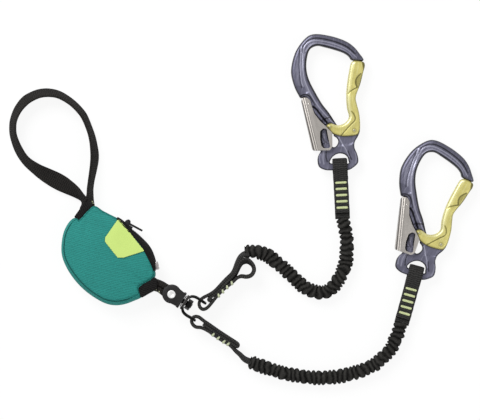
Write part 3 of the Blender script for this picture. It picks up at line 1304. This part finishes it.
def make_swivel(finishes):
    pin = [(reach, PADDLE_HIGH + rise) for reach, rise in PIN_HEAD]
    bore, end = circle(ORIGIN, CROSSBAR_BORE, 32), YOKE_AT + CROSSBAR_THICKNESS
    crossbar = block(CROSSBAR_HALF, CROSSBAR_HEIGHT, YOKE_AT, end, 0.0022, 0.0007, [bore])
    washer = lathed(WASHER, swivel_frame(WASHER_AT), 48)
    for name, mesh, slot, body, node, sharp in (
        ("swivel_fork_steel", fork_mesh(), "dark_steel", "swivel_fork", "swivel_fork", 40),
        ("swivel_pin_rivet", double_headed(pin, swivel_place(0), 48), "steel", "swivel_fork", "swivel_pin", 50),
        ("swivel_washer_ring", washer, "black_steel", "swivel_fork", "swivel_washer", 40),
        ("swivel_nut_black", nut_mesh(), "black_steel", "swivel_fork", "swivel_nut", 40),
        ("bail_crossbar", crossbar, "grey_steel", "bail", "bail_yoke", 40),
        ("bail_bow_upper", bail_wire(1), "black_steel", "bail", "bail_wire_upper", None),
        ("bail_bow_lower", bail_wire(-1), "black_steel", "bail", "bail_wire_lower", None),
    ):
        piece(mesh, name, finishes[slot], body, slot, node, sharp=sharp)


# Carabiners, drawn upright in tenths of a pixel and measured from the gate's pivot

BODY_HALF, WEB_HALF, EYE_HALF, LEVER_HALF = 0.0055, 0.0026, 0.0032, 0.0072
FORK_HALF = 0.0029
BODY_OUTLINE = [
    (785, 328), (740, 252), (690, 192), (620, 140), (520, 100), (420, 75), (320, 62), (240, 77), (170, 140),
    (110, 230), (75, 330), (60, 430), (70, 510), (100, 605), (138, 678), (157, 703), (210, 705), (214, 790),
    (250, 860), (300, 930), (340, 985), (346, 1030), (344, 1100), (348, 1150), (358, 1196), (356, 1236), (336, 1272),
    (325, 1320), (340, 1388), (400, 1420), (480, 1425), (620, 1425), (690, 1390), (732, 1340), (722, 1265),
    (695, 1200), (697, 1140), (728, 1085), (748, 1030), (735, 985), (690, 965), (640, 985), (590, 1010), (530, 985),
    (440, 850), (370, 760), (300, 640), (240, 520), (214, 410), (220, 300), (250, 215), (320, 180), (400, 195),
    (500, 222), (580, 250), (635, 285), (670, 325),
]  # fmt: skip
TAIL_WINDOW = [
    (424, 965), (470, 965), (484, 1040), (488, 1080), (512, 1096), (531, 1122), (530, 1152), (508, 1186), (478, 1192),
    (464, 1160), (450, 1124), (436, 1120), (420, 1040),
]  # fmt: skip
CHEEK_SWEEP = [
    (380, 925), (440, 905), (560, 880), (760, 870), (800, 1000), (775, 1100), (640, 1165), (500, 1178), (410, 1145),
    (340, 1010),
]  # fmt: skip
EYE_REGION = [(280, 1165), (780, 1165), (780, 1460), (280, 1460)]
EYE_HOLE = [
    (462, 1356), (454, 1322), (486, 1280), (536, 1256), (590, 1262), (624, 1290), (634, 1326), (628, 1356),
]  # fmt: skip
SPINE_PANEL = [
    (152, 250), (120, 330), (104, 430), (114, 510), (142, 598), (178, 660), (212, 664), (236, 640), (206, 560),
    (184, 480), (178, 400), (186, 320), (204, 250), (186, 222),
]  # fmt: skip
INNER_EDGE = BODY_OUTLINE[-16:]
RIDGES = [
    [(710, 296), (630, 226), (550, 184), (450, 152), (350, 134), (290, 132), (240, 148), (200, 182), (183, 240),
     (177, 320), (180, 420), (194, 520), (225, 600), (265, 680), (320, 770), (385, 850), (455, 925), (500, 965)],
    [(680, 318), (640, 262), (560, 216), (450, 180), (350, 160), (290, 160), (240, 190), (206, 240)],
    [(165, 190), (157, 240), (152, 320), (154, 440), (164, 540), (180, 590)],
    [(540, 1098), (560, 1135), (582, 1174), (612, 1224), (640, 1290)],
]  # fmt: skip
CREASES = [
    [(700, 262), (630, 200), (550, 160), (450, 128), (350, 108), (280, 110), (220, 140), (180, 190)],
    [(145, 215), (141, 320), (143, 440), (152, 540), (168, 600)],
    [(150, 690), (172, 674), (205, 668), (240, 684), (266, 716), (300, 776)],
    [(628, 1232), (652, 1292), (668, 1318)],
    [(412, 1225), (410, 1290), (424, 1340)],
]  # fmt: skip
HEAD_BAND = [(300, 96), (400, 110), (520, 142), (610, 180), (680, 236), (735, 296)]
WINDOW_SHADE = [(392, 1004), (364, 1034), (362, 1110), (378, 1184), (392, 1204)]
STREAKS = [
    [(388, 1060), (392, 1110), (402, 1160)], [(390, 1228), (378, 1300), (388, 1360)],
    [(356, 1240), (342, 1300), (350, 1350)], [(700, 1240), (712, 1300), (704, 1350)],
]  # fmt: skip
RECESS = [(260, 800), (280, 785), (312, 812), (370, 888), (420, 946), (414, 966), (390, 970), (330, 902), (280, 842)]
SPINE_END = [(100, 590), (186, 590), (250, 690), (270, 740), (214, 760), (196, 700), (150, 694), (120, 640)]
GATE_OUTLINE = [
    (672, 336), (778, 340), (797, 380), (782, 440), (752, 560), (722, 640), (706, 700), (716, 760), (741, 860),
    (750, 960), (746, 1030), (722, 1070), (640, 1084), (560, 1084), (480, 1060), (440, 1022), (412, 990), (428, 962),
    (470, 957), (530, 975), (600, 950), (640, 890), (620, 800), (613, 650), (638, 450),
]  # fmt: skip
GATE_SLOT = [(380, 905), (800, 905), (800, 1130), (380, 1130)]
GATE_RECESS = [(756, 458), (768, 470), (758, 530), (738, 596), (722, 600), (706, 570), (706, 530), (722, 492)]
GATE_INNER = [
    (676, 350), (655, 400), (645, 450), (620, 650), (626, 790), (646, 880), (620, 940), (575, 962), (530, 972),
    (470, 957),
]
GATE_BEVEL = [(700, 344), (686, 420), (668, 520), (652, 650), (650, 700), (658, 790), (682, 850)]
GATE_CREASES = [
    [(756, 458), (726, 486), (706, 520), (704, 560), (716, 594), (683, 616), (651, 637), (630, 664)],
    [(664, 838), (686, 862), (700, 902), (694, 930), (670, 955), (636, 990), (600, 1030), (562, 1072)],
]
GATE_NOSE = [(766, 318), (812, 330), (812, 470), (786, 452), (782, 400)]
GATE_FOOT = [(420, 1005), (452, 1052), (480, 1074), (560, 1096), (640, 1096), (700, 1088), (728, 1074), (752, 1030)]
LEVER_OUTLINE = [
    (163, 728), (172, 704), (215, 698), (250, 728), (266, 790), (292, 860), (350, 935), (408, 988), (445, 1025),
    (470, 1050), (472, 1190), (445, 1226), (285, 1226), (272, 1210),
]  # fmt: skip
LEVER_WINDOW = [
    (349, 1036), (378, 1006), (414, 1012), (424, 1066), (436, 1126), (450, 1188), (440, 1204), (382, 1204),
    (362, 1182), (349, 1112),
]  # fmt: skip
LEVER_CHANNEL = [(170, 660), (186, 745), (296, 1260), (640, 1260), (640, 660)]
LEVER_PIVOT, TAIL_PIN = (238, 768), (447, 990)
LEVER_EDGE = [(163, 728), (285, 1226)]
LEVER_COIL_SEATS = [(276, 1100), (340, 1100)]
VOXEL = 0.00052


LEVER_WALL = 0.0014
# Each rivet's place, the radii of its shank and its heads, and how far its heads are from the middle plane
RIVETS = {
    "gate": (GATE_PIVOT_PX, 0.0013, 0.0015, BODY_HALF - 0.0002),
    "tail": (TAIL_PIN, 0.0011, 0.0013, BODY_HALF - 0.0003),
    "lever": (LEVER_PIVOT, 0.0012, 0.0014, LEVER_HALF - 0.0002),
}
# A rivet head's profile: shares of its radius, and heights
DOME = [(0, 0.0004), (0.45, 0.00036), (0.8, 0.0002), (0.97, 0.00005), (1, -0.0001)]
# Each spring's radius, turns and half its wire's thickness
GATE_COIL, LEVER_COIL = (0.0025, 2.4, 0.0004), (0.0022, 4.5, 0.00035)
# Between which distances from an outline the forging is thinned, and pressed in
THIN_FADE, PRESS_FADE = (-0.0016, -0.0001), (-0.0001, 0.0008)


def upright_place(point):
    return Vector(((point[0] - GATE_PIVOT_PX[0]) * CARABINER_UNIT, (GATE_PIVOT_PX[1] - point[1]) * CARABINER_UNIT, 0))


def upright_places(points):
    return [upright_place(point) for point in points]


class Outline:
    """Lines in the flat that tell how far a point lies from them and, if they are closed, on which side."""

    def __init__(self, *loops, closed=True):
        self.loop = loops[0]
        verts, faces = [], []
        for loop in loops:
            first, count = len(verts), len(loop)
            verts += [(p.x, p.y, z) for p in loop for z in (-1, 1)]
            for i in range(count if closed else count - 1):
                a, b = first + 2 * i, first + 2 * ((i + 1) % count)
                faces.append((a, a + 1, b + 1, b))
        self.tree = BVHTree.FromPolygons(verts, faces)

    def gap(self, point):
        return self.tree.find_nearest(Vector((point.x, point.y, 0)))[3]

    def depth(self, point):
        """How far inside the first loop a point lies, and below 0 outside it."""
        inside = False
        for a, b in zip(self.loop, self.loop[1:] + self.loop[:1]):
            if (a.y > point.y) != (b.y > point.y) and point.x < (b.x - a.x) * (point.y - a.y) / (b.y - a.y) + a.x:
                inside = not inside
        return self.gap(point) if inside else -self.gap(point)

    def outside(self, point):
        return max(-self.depth(point), 0.0)


def region(points):
    return Outline(upright_places(points))


def trace(points):
    return Outline(upright_places(made_smooth(points, 4)), closed=False)


def eased(value, low, high):
    """From 0 at low to 1 at high, with soft ends."""
    t = min(max((value - low) / (high - low), 0.0), 1.0)
    return t * t * (3 - 2 * t)


def forged(outline, holes, core, edge_share, edge_reach, thin=(), sunk=(), raised=(), slot=None):
    """A thick smooth plate whose edges fall away, and its edges as an Outline.

    It is thinned over outlines to a half thickness, sunk over others by a depth, and raised along traces by a height
    that fades over a distance. What lies within the core's height of the middle stays as it is.
    """
    loops = []
    for loop in (outline, *holes):
        loops.append([Vector(p) for p in made_smooth(upright_places(loop), 4, closed=True)])
    tool = plate(upright_places(slot), -FORK_HALF, FORK_HALF) if slot else None
    mesh = carved(plate(loops[0], -BODY_HALF, BODY_HALF, loops[1:]), tool, VOXEL)
    edges = Outline(*loops)
    thin = [(region(points), half) for points, half in thin]
    sunk = [(region(points), depth) for points, depth in sunk]
    for vert in mesh.verts:
        point = vert.co
        if abs(point.z) <= core:
            continue
        inset = min(edges.gap(point) / edge_reach, 1.0)
        half = BODY_HALF * (edge_share + (1 - edge_share) * math.sqrt(max(1 - (1 - inset) ** 2, 0.0)))
        for inner, limit in thin:
            half = min(half, limit + (BODY_HALF - limit) * (1 - eased(inner.depth(point), *THIN_FADE)))
        for inner, depth in sunk:
            half -= depth * eased(inner.depth(point), *PRESS_FADE)
        for line, height, width in raised:
            half += height * (1 - eased(line.gap(point), 0, width)) * min(inset * 2, 1.0)
        rise = (abs(point.z) - core) / (BODY_HALF - core)
        vert.co.z = math.copysign(core + rise * (max(half, core + 0.0004) - core), point.z)
    for _ in range(2):
        bmesh.ops.smooth_vert(mesh, verts=mesh.verts[:], factor=0.5, use_axis_x=True, use_axis_y=True, use_axis_z=True)
    return mesh, edges


def toned(mesh, marks):
    """Stores how dark (towards 0) or pale (towards 1) each place is, from marks of a gap, a share and two distances."""
    layer = mesh.verts.layers.float.new("tone")
    for vert in mesh.verts:
        tone = sum(share * (1 - eased(gap(vert.co), near, far)) for gap, share, near, far in marks)
        vert[layer] = 0.5 + 0.5 * min(max(tone, -1.0), 1.0)
    return mesh


def body_mesh():
    ridges, creases = ([trace(line) for line in lines] for lines in (RIDGES, CREASES))
    mesh, edges = forged(
        BODY_OUTLINE,
        [EYE_HOLE, TAIL_WINDOW],
        core=0.0,
        edge_share=0.42,
        edge_reach=0.0030,
        thin=[(CHEEK_SWEEP, WEB_HALF - 0.0001), (EYE_REGION, EYE_HALF)],
        sunk=[(SPINE_PANEL, 0.0005), (RECESS, 0.0016)],
        raised=[(line, 0.0005, 0.0008) for line in ridges] + [(line, -0.0005, 0.0007) for line in creases],
    )
    return toned(mesh, [
        (edges.gap, -1.0, 0.0003, 0.0015),
        (trace(INNER_EDGE).gap, -0.85, 0.0010, 0.0025),
        (trace(HEAD_BAND).gap, -0.22, 0.0014, 0.0034),
        (trace(WINDOW_SHADE).gap, -1.6, 0.0003, 0.0010),
        *((line.gap, 0.95, 0.0001, 0.0007) for line in ridges),
        *((line.gap, -0.85, 0.0002, 0.0009) for line in creases),
        *((trace(line).gap, 0.6, 0.0001, 0.0010) for line in STREAKS),
        (region(RECESS).gap, -1.8, 0.0004, 0.0011),
        (region(SPINE_PANEL).outside, 0.28, 0.0001, 0.0006),
        (region(SPINE_END).outside, -0.3, 0.0003, 0.0012),
    ])  # fmt: skip


def gate_mesh():
    creases = [trace(line) for line in GATE_CREASES]
    bevel = trace(GATE_BEVEL)
    mesh, edges = forged(
        GATE_OUTLINE,
        [],
        core=FORK_HALF,
        edge_share=0.60,
        edge_reach=0.0026,
        sunk=[(GATE_RECESS, 0.0006)],
        raised=[(line, -0.0005, 0.0007) for line in creases] + [(bevel, 0.0003, 0.0008)],
        slot=GATE_SLOT,
    )
    return toned(mesh, [
        (edges.gap, -0.5, 0.0002, 0.0012),
        (trace(GATE_INNER).gap, 0.62, 0.0006, 0.0032),
        *((line.gap, -1.0, 0.0002, 0.0010) for line in creases),
        (region(GATE_NOSE).outside, -1.0, 0.0001, 0.0008),
        (trace(GATE_FOOT).gap, -1.1, 0.0005, 0.0018),
        (lambda point: abs(point.xy.length - 0.0019), -0.6, 0.0001, 0.0006),
        (lambda point: abs((point - upright_place(TAIL_PIN)).xy.length - 0.0016), -0.6, 0.0001, 0.0006),
        (region(GATE_RECESS).outside, -0.5, 0.0, 0.0008),
        (bevel.gap, 0.25, 0.0001, 0.0006),
    ])  # fmt: skip


def lever_mesh():
    """A folded steel plate with a window, open towards the gate."""
    sheet = plate(upright_places(LEVER_OUTLINE), -LEVER_HALF, LEVER_HALF, [upright_places(LEVER_WINDOW)])
    softened(sheet, 0.0011, 4, math.radians(8), upright_edge)
    inside = LEVER_HALF - LEVER_WALL
    mesh = carved(sheet, plate(upright_places(LEVER_CHANNEL), -inside, inside))
    return softened(flattened(mesh, FINE_ANGLE), 0.0004, 3, math.radians(45))


def rivet_mesh(name):
    """A pin with a low domed head at each end."""
    place, shank, head, reach = RIVETS[name]
    profile = [(head * share, reach + rise) for share, rise in DOME]
    return double_headed([*profile, (shank, reach - 0.00015)], upright_place(place), 32)


def coil_mesh(middle, axis, pitch, radius, turns, thickness):
    side = axis.orthogonal().normalized()
    rise = axis.cross(side)
    points = []
    for i in range(int(turns * 18) + 1):
        at = math.tau * i / 18
        spoke = side * math.cos(at) + rise * math.sin(at)
        points.append(middle + spoke * radius + axis * pitch * (i / 18 - turns / 2))
    return wire(points, thickness, 10)


def make_carabiner(arm, shapes, finishes):
    """One carabiner's pieces, from the shapes drawn upright about the gate's pivot."""
    pivot = Vector(JOINTS[f"{arm}_gate_swing"]["pos_m"])
    axis = Vector(JOINTS[f"{arm}_carabiner_nod"]["axis"])
    matrix = Matrix.Translation(pivot) @ Matrix.Rotation(math.atan2(axis.y, axis.x), 4, "Z")
    for name, (shape, body, slot, finish, sharp, node) in shapes.items():
        mesh = shape.copy()
        # The map is each place's own across and up, in metres from the gate's pivot
        chart = mesh.loops.layers.uv.new("UVMap")
        for loop in (loop for face in mesh.faces for loop in face.loops):
            loop[chart].uv = loop.vert.co.xy
        moved(mesh, matrix)
        node = f"{arm}_carabiner_{node}"
        made = piece(mesh, f"{arm}_{name}", finishes[finish], f"{arm}_{body}", slot, node, sharp=sharp)
        if name == "lever_spring_coil":
            first, last = (matrix @ seat for seat in upright_places(LEVER_COIL_SEATS))
            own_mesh(made)


def carabiner_shapes():
    """What one carabiner is made of: mesh, body, material slot, finish, sharp angle and the node it stands for."""
    first, last = upright_places(LEVER_COIL_SEATS)
    pitch = ((last - first).length - 0.0008) / LEVER_COIL[1]
    lever_coil = coil_mesh((first + last) / 2, (last - first).normalized(), pitch, *LEVER_COIL)
    gate_coil = coil_mesh(ORIGIN, UP, 0.0013, *GATE_COIL)
    return {
        "carabiner_frame": (body_mesh(), "carabiner", "lilac_aluminium", "lilac", None, "body"),
        "carabiner_gate_arm": (gate_mesh(), "gate", "yellow_aluminium", "yellow", None, "gate"),
        "palm_lever": (lever_mesh(), "lever", "steel", "steel", 40, "lever"),
        "gate_rivet": (rivet_mesh("gate"), "carabiner", "steel", "dyed_rivet", 50, "gate_pin"),
        "tail_rivet": (rivet_mesh("tail"), "gate", "steel", "dyed_rivet", 50, "tail_pin"),
        "lever_rivet": (rivet_mesh("lever"), "carabiner", "steel", "rivet", 50, "lever_pin"),
        "gate_spring_coil": (gate_coil, "carabiner", "spring_steel", "spring", None, "gate_spring"),
        "lever_spring_coil": (lever_coil, "carabiner", "spring_steel", "spring", None, "lever_spring"),
    }


# Stage

CAMERA_HEIGHT = 2.4
SENSOR_WIDTH = 36.0
# Each lamp's place, size and setting for its power
LAMPS = {
    "window_light": ((-0.9, 1.1, 1.5), 1.0, "key_light"),
    "fill_light": ((1.2, -0.9, 1.4), 1.4, "fill_light"),
}


def make_stage(sizes, colours):
    scene = bpy.context.scene
    middle = layout((PICTURE_PX[0] / 2, PICTURE_PX[1] / 2))
    data = bpy.data.cameras.new("camera_above")
    data.sensor_width = SENSOR_WIDTH
    data.lens = SENSOR_WIDTH * (CAMERA_HEIGHT - CARABINER_MIDDLE) / (PICTURE_PX[0] * PIXEL)
    data.clip_start, data.clip_end = 0.05, 20
    scene.camera = bpy.data.objects.new("camera_above", data)
    scene.camera.location = (middle.x, middle.y, CAMERA_HEIGHT)
    scene.collection.objects.link(scene.camera)

    mesh = bmesh.new()
    bmesh.ops.create_grid(mesh, x_segments=1, y_segments=1, size=6)
    floor = loose(mesh, "floor")
    floor.data.materials.append(floor_finish("pale_floor", rgb(colours.floor), sizes.floor_brightness))
    floor.location.z = -0.0002

    for name, (place, size, power) in LAMPS.items():
        lamp = bpy.data.lights.new(name, "AREA")
        lamp.energy = getattr(sizes, power)
        lamp.size = size
        lit = bpy.data.objects.new(name, lamp)
        lit.location = place
        lit.rotation_mode = "QUATERNION"
        lit.rotation_quaternion = (-Vector(place)).to_track_quat("-Z", "Y")
        scene.collection.objects.link(lit)
    scene.world = bpy.data.worlds.new("studio")
    scene.world.use_nodes = True
    sky = scene.world.node_tree.nodes["Background"].inputs
    sky["Color"].default_value = (1, 1, 1, 1)
    sky["Strength"].default_value = sizes.sky
    scene.view_settings.view_transform = "Standard"


# The add-on's settings


def colour_setting(name, description, default):
    return bpy.props.FloatVectorProperty(
        name=name, description=description, subtype="COLOR", size=3, min=0.0, max=1.0, default=default
    )


def count_setting(name, description, default):
    return bpy.props.IntProperty(name=name, description=description, default=default, min=10, max=80)


def length_setting(name, description, default, most):
    return bpy.props.FloatProperty(
        name=name, description=description, default=default, min=0.0, max=most, subtype="DISTANCE", unit="LENGTH"
    )


def power_setting(name, description, default):
    return bpy.props.FloatProperty(name=name, description=description, default=default, min=0.0, unit="POWER")


class LanyardSizes(bpy.types.PropertyGroup):
    upper_gathers: count_setting("Upper gathers", "Puffs along the upper sleeve", 33)
    lower_gathers: count_setting("Lower gathers", "Puffs along the lower sleeve", 34)
    gather_depth: length_setting("Gather depth", "How deep the folds between the puffs are", 0.0024, 0.003)
    wrinkles: length_setting("Wrinkles", "How high the pouch's cloth waves", 0.0007, 0.002)
    key_light: power_setting("Window light", "Power of the large lamp", 34.0)
    fill_light: power_setting("Fill light", "Power of the far lamp", 10.0)
    sky: bpy.props.FloatProperty(name="Sky", description="Strength of the even light", default=0.45, min=0.0)
    floor_brightness: bpy.props.FloatProperty(
        name="Floor brightness", description="Share of the floor that is seen as plain white", default=0.9, min=0.0,
        max=1.0,
    )  # fmt: skip


class LanyardColours(bpy.types.PropertyGroup):
    harness: colour_setting("Harness webbing", "Colour of the loop's webbing", (0.0130, 0.0118, 0.0110))
    arm: colour_setting("Arm webbing", "Colour of the arms' webbing", (0.0228, 0.0223, 0.0215))
    sleeve: colour_setting("Sleeves", "Colour of the gathered sleeves", (0.0205, 0.0198, 0.0184))
    cloth: colour_setting("Pouch cloth", "Colour of the pouch", (0.020, 0.240, 0.212))
    trim: colour_setting("Trim", "Colour of cuffs and zip tape", (0.0085, 0.0080, 0.0080))
    patch: colour_setting("Patch", "Colour of the bare patch", (0.560, 0.735, 0.190))
    thread: colour_setting("Thread", "Colour of the stitches", (0.780, 0.860, 0.450))
    lilac: colour_setting("Carabiner body", "Dye of the carabiners' bodies", (0.140, 0.138, 0.196))
    yellow: colour_setting("Gate", "Dye of the gates", (0.640, 0.575, 0.185))
    steel: colour_setting("Lever steel", "Colour of levers and rivets", (0.500, 0.470, 0.440))
    floor: colour_setting("Floor", "Colour of the surface below", (1.0, 1.0, 1.0))


RUBBER_GREY = (0.3, 0.3, 0.3)


def settings():
    return bpy.context.scene.lanyard_sizes, bpy.context.scene.lanyard_colours


class LANYARD_OT_arms(bpy.types.Operator):
    """Gathered sleeves, their elastic, the straps at both ends and their lime stitches"""

    bl_idname = "lanyard.arms"
    bl_label = "Arms"

    def execute(self, context):
        sizes, colours = settings()
        thread = rgb(colours.thread)
        finishes = {
            "sleeve": ruffle_finish("gathered_sleeve", rgb(colours.sleeve)),
            "arm": webbing_finish("arm_webbing", rgb(colours.arm)),
            "elastic": elastic_finish("covered_rubber", RUBBER_GREY),
            "thread": thread_finish("pale_thread", (0.70, 0.76, 0.50)),
            "thread_across": {
                "upper": thread_finish("lime_bars_upper", thread, math.radians(3)),
                "lower": thread_finish("lime_bars_lower", thread, math.radians(-15.3)),
            },
        }
        for arm in ("upper", "lower"):
            make_arm(arm, sizes, finishes)
        return {"FINISHED"}


class LANYARD_OT_harness(bpy.types.Operator):
    """The webbing loop that ties to the harness"""

    bl_idname = "lanyard.harness"
    bl_label = "Harness loop"

    def execute(self, context):
        colours = settings()[1]
        make_harness({
            "harness": webbing_finish("harness_webbing", rgb(colours.harness)),
            "thread": thread_finish("harness_thread", rgb(colours.thread)),
        })  # fmt: skip
        return {"FINISHED"}


class LANYARD_OT_pouch(bpy.types.Operator):
    """The pouch's shells, patch, cuffs and zip"""

    bl_idname = "lanyard.pouch"
    bl_label = "Pouch"

    def execute(self, context):
        sizes, colours = settings()
        cloth = pack_cloth_finish("pouch_cloth", rgb(colours.cloth))
        trim = rgb(colours.trim)
        front = make_shell("pouch_front", FRONT_HEIGHT, FRONT_SHARES, CROWN_POWER, sizes.wrinkles, cloth)
        back = make_shell("pouch_back", BACK_HEIGHT, BACK_SHARES, None, 0.0, cloth)
        make_patch(front, patch_finish("lime_patch", rgb(colours.patch)))
        make_cuffs({
            "top_cuff": webbing_finish("top_cuff_tape", trim, math.radians(27)),
            "lower_cuff": webbing_finish("lower_cuff_tape", trim, math.radians(67)),
        })  # fmt: skip
        make_zip(front, back, {
            "zip_tape": tape_finish("zip_tape", trim),
            "teeth": moulded_finish("zip_coil", (0.014, 0.014, 0.015)),
            "black_steel": cast_finish("black_plated", (0.03, 0.03, 0.032), 0.34),
            "puller": brushed_finish("puller_steel", (0.022, 0.022, 0.024), math.radians(-27), 0.34, 0.6),
            "steel": brushed_finish("stop_steel", (0.55, 0.52, 0.52), math.radians(-80), 0.3),
        })  # fmt: skip
        return {"FINISHED"}


class LANYARD_OT_absorber(bpy.types.Operator):
    """The folded tear webbing, its band and the strap to the swivel"""

    bl_idname = "lanyard.absorber"
    bl_label = "Absorber"

    def execute(self, context):
        make_absorber({
            "arm": webbing_finish("absorber_webbing", rgb(settings()[1].harness)),
            "elastic": elastic_finish("absorber_band", RUBBER_GREY),
            "thread": thread_finish("absorber_thread", (0.72, 0.76, 0.50)),
        })  # fmt: skip
        return {"FINISHED"}


class LANYARD_OT_swivel(bpy.types.Operator):
    """Fork, pin, washer, nut, crossbar and wire bows"""

    bl_idname = "lanyard.swivel"
    bl_label = "Swivel"

    def execute(self, context):
        make_swivel({
            "dark_steel": cast_finish("dark_fork", (0.040, 0.039, 0.040), 0.40),
            "steel": brushed_finish("pin_steel", (0.95, 0.95, 0.94), 0.4, 0.36, 0.45),
            "black_steel": cast_finish("black_nut", (0.018, 0.018, 0.018), 0.20),
            "grey_steel": cast_finish("grey_crossbar", (0.050, 0.048, 0.048), 0.36),
        })  # fmt: skip
        return {"FINISHED"}


class LANYARD_OT_carabiners(bpy.types.Operator):
    """Both carabiners with gates, palm levers, rivets and springs"""

    bl_idname = "lanyard.carabiners"
    bl_label = "Carabiners"

    def execute(self, context):
        colours = settings()[1]
        steel = rgb(colours.steel)
        finishes = {
            "lilac": anodised_finish("lilac_dye", rgb(colours.lilac), 0.55, (0.43, 0.43, 0.54), (0.008, 0.008, 0.012)),
            "yellow": anodised_finish("yellow_dye", rgb(colours.yellow), 0.35, (0.86, 0.84, 0.52), (0.16, 0.14, 0.03)),
            "steel": folded_finish("lever_steel", steel, upright_places(LEVER_EDGE)),
            "rivet": brushed_finish("rivet_steel", steel, 0.3, 0.34),
            "dyed_rivet": brushed_finish("dyed_rivet", (0.42, 0.40, 0.27), 0.3, 0.4, 0.7),
            "spring": brushed_finish("spring_wire", (0.35, 0.35, 0.35), 0.0, 0.3),
        }
        shapes = carabiner_shapes()
        for arm in ("upper", "lower"):
            make_carabiner(arm, shapes, finishes)
        for shape in shapes.values():
            shape[0].free()
        return {"FINISHED"}


class LANYARD_OT_stage(bpy.types.Operator):
    """Floor, lamps, sky and the camera straight above"""

    bl_idname = "lanyard.stage"
    bl_label = "Stage"

    def execute(self, context):
        make_stage(*settings())
        return {"FINISHED"}


OPERATORS = (
    LANYARD_OT_stage,
    LANYARD_OT_arms,
    LANYARD_OT_harness,
    LANYARD_OT_pouch,
    LANYARD_OT_absorber,
    LANYARD_OT_swivel,
    LANYARD_OT_carabiners,
)


class LANYARD_PT_panel(bpy.types.Panel):
    """Lists the lanyard's pieces"""

    bl_idname = "LANYARD_PT_panel"
    bl_label = "Via ferrata lanyard"
    bl_space_type = "VIEW_3D"
    bl_region_type = "UI"
    bl_category = "Lanyard"

    def draw(self, context):
        for group in (context.scene.lanyard_sizes, context.scene.lanyard_colours):
            for name in group.__annotations__:
                self.layout.prop(group, name)
        for operator in OPERATORS:
            self.layout.operator(operator.bl_idname)


CLASSES = (LanyardSizes, LanyardColours, *OPERATORS, LANYARD_PT_panel)


def register():
    for cls in CLASSES:
        bpy.utils.register_class(cls)
    bpy.types.Scene.lanyard_sizes = bpy.props.PointerProperty(type=LanyardSizes)
    bpy.types.Scene.lanyard_colours = bpy.props.PointerProperty(type=LanyardColours)


def unregister():
    del bpy.types.Scene.lanyard_sizes
    del bpy.types.Scene.lanyard_colours
    for cls in reversed(CLASSES):
        bpy.utils.unregister_class(cls)


def main():
    register()
    for operator in OPERATORS:
        getattr(bpy.ops.lanyard, operator.bl_idname.split(".")[1])()


if __name__ == "__main__":
    main()
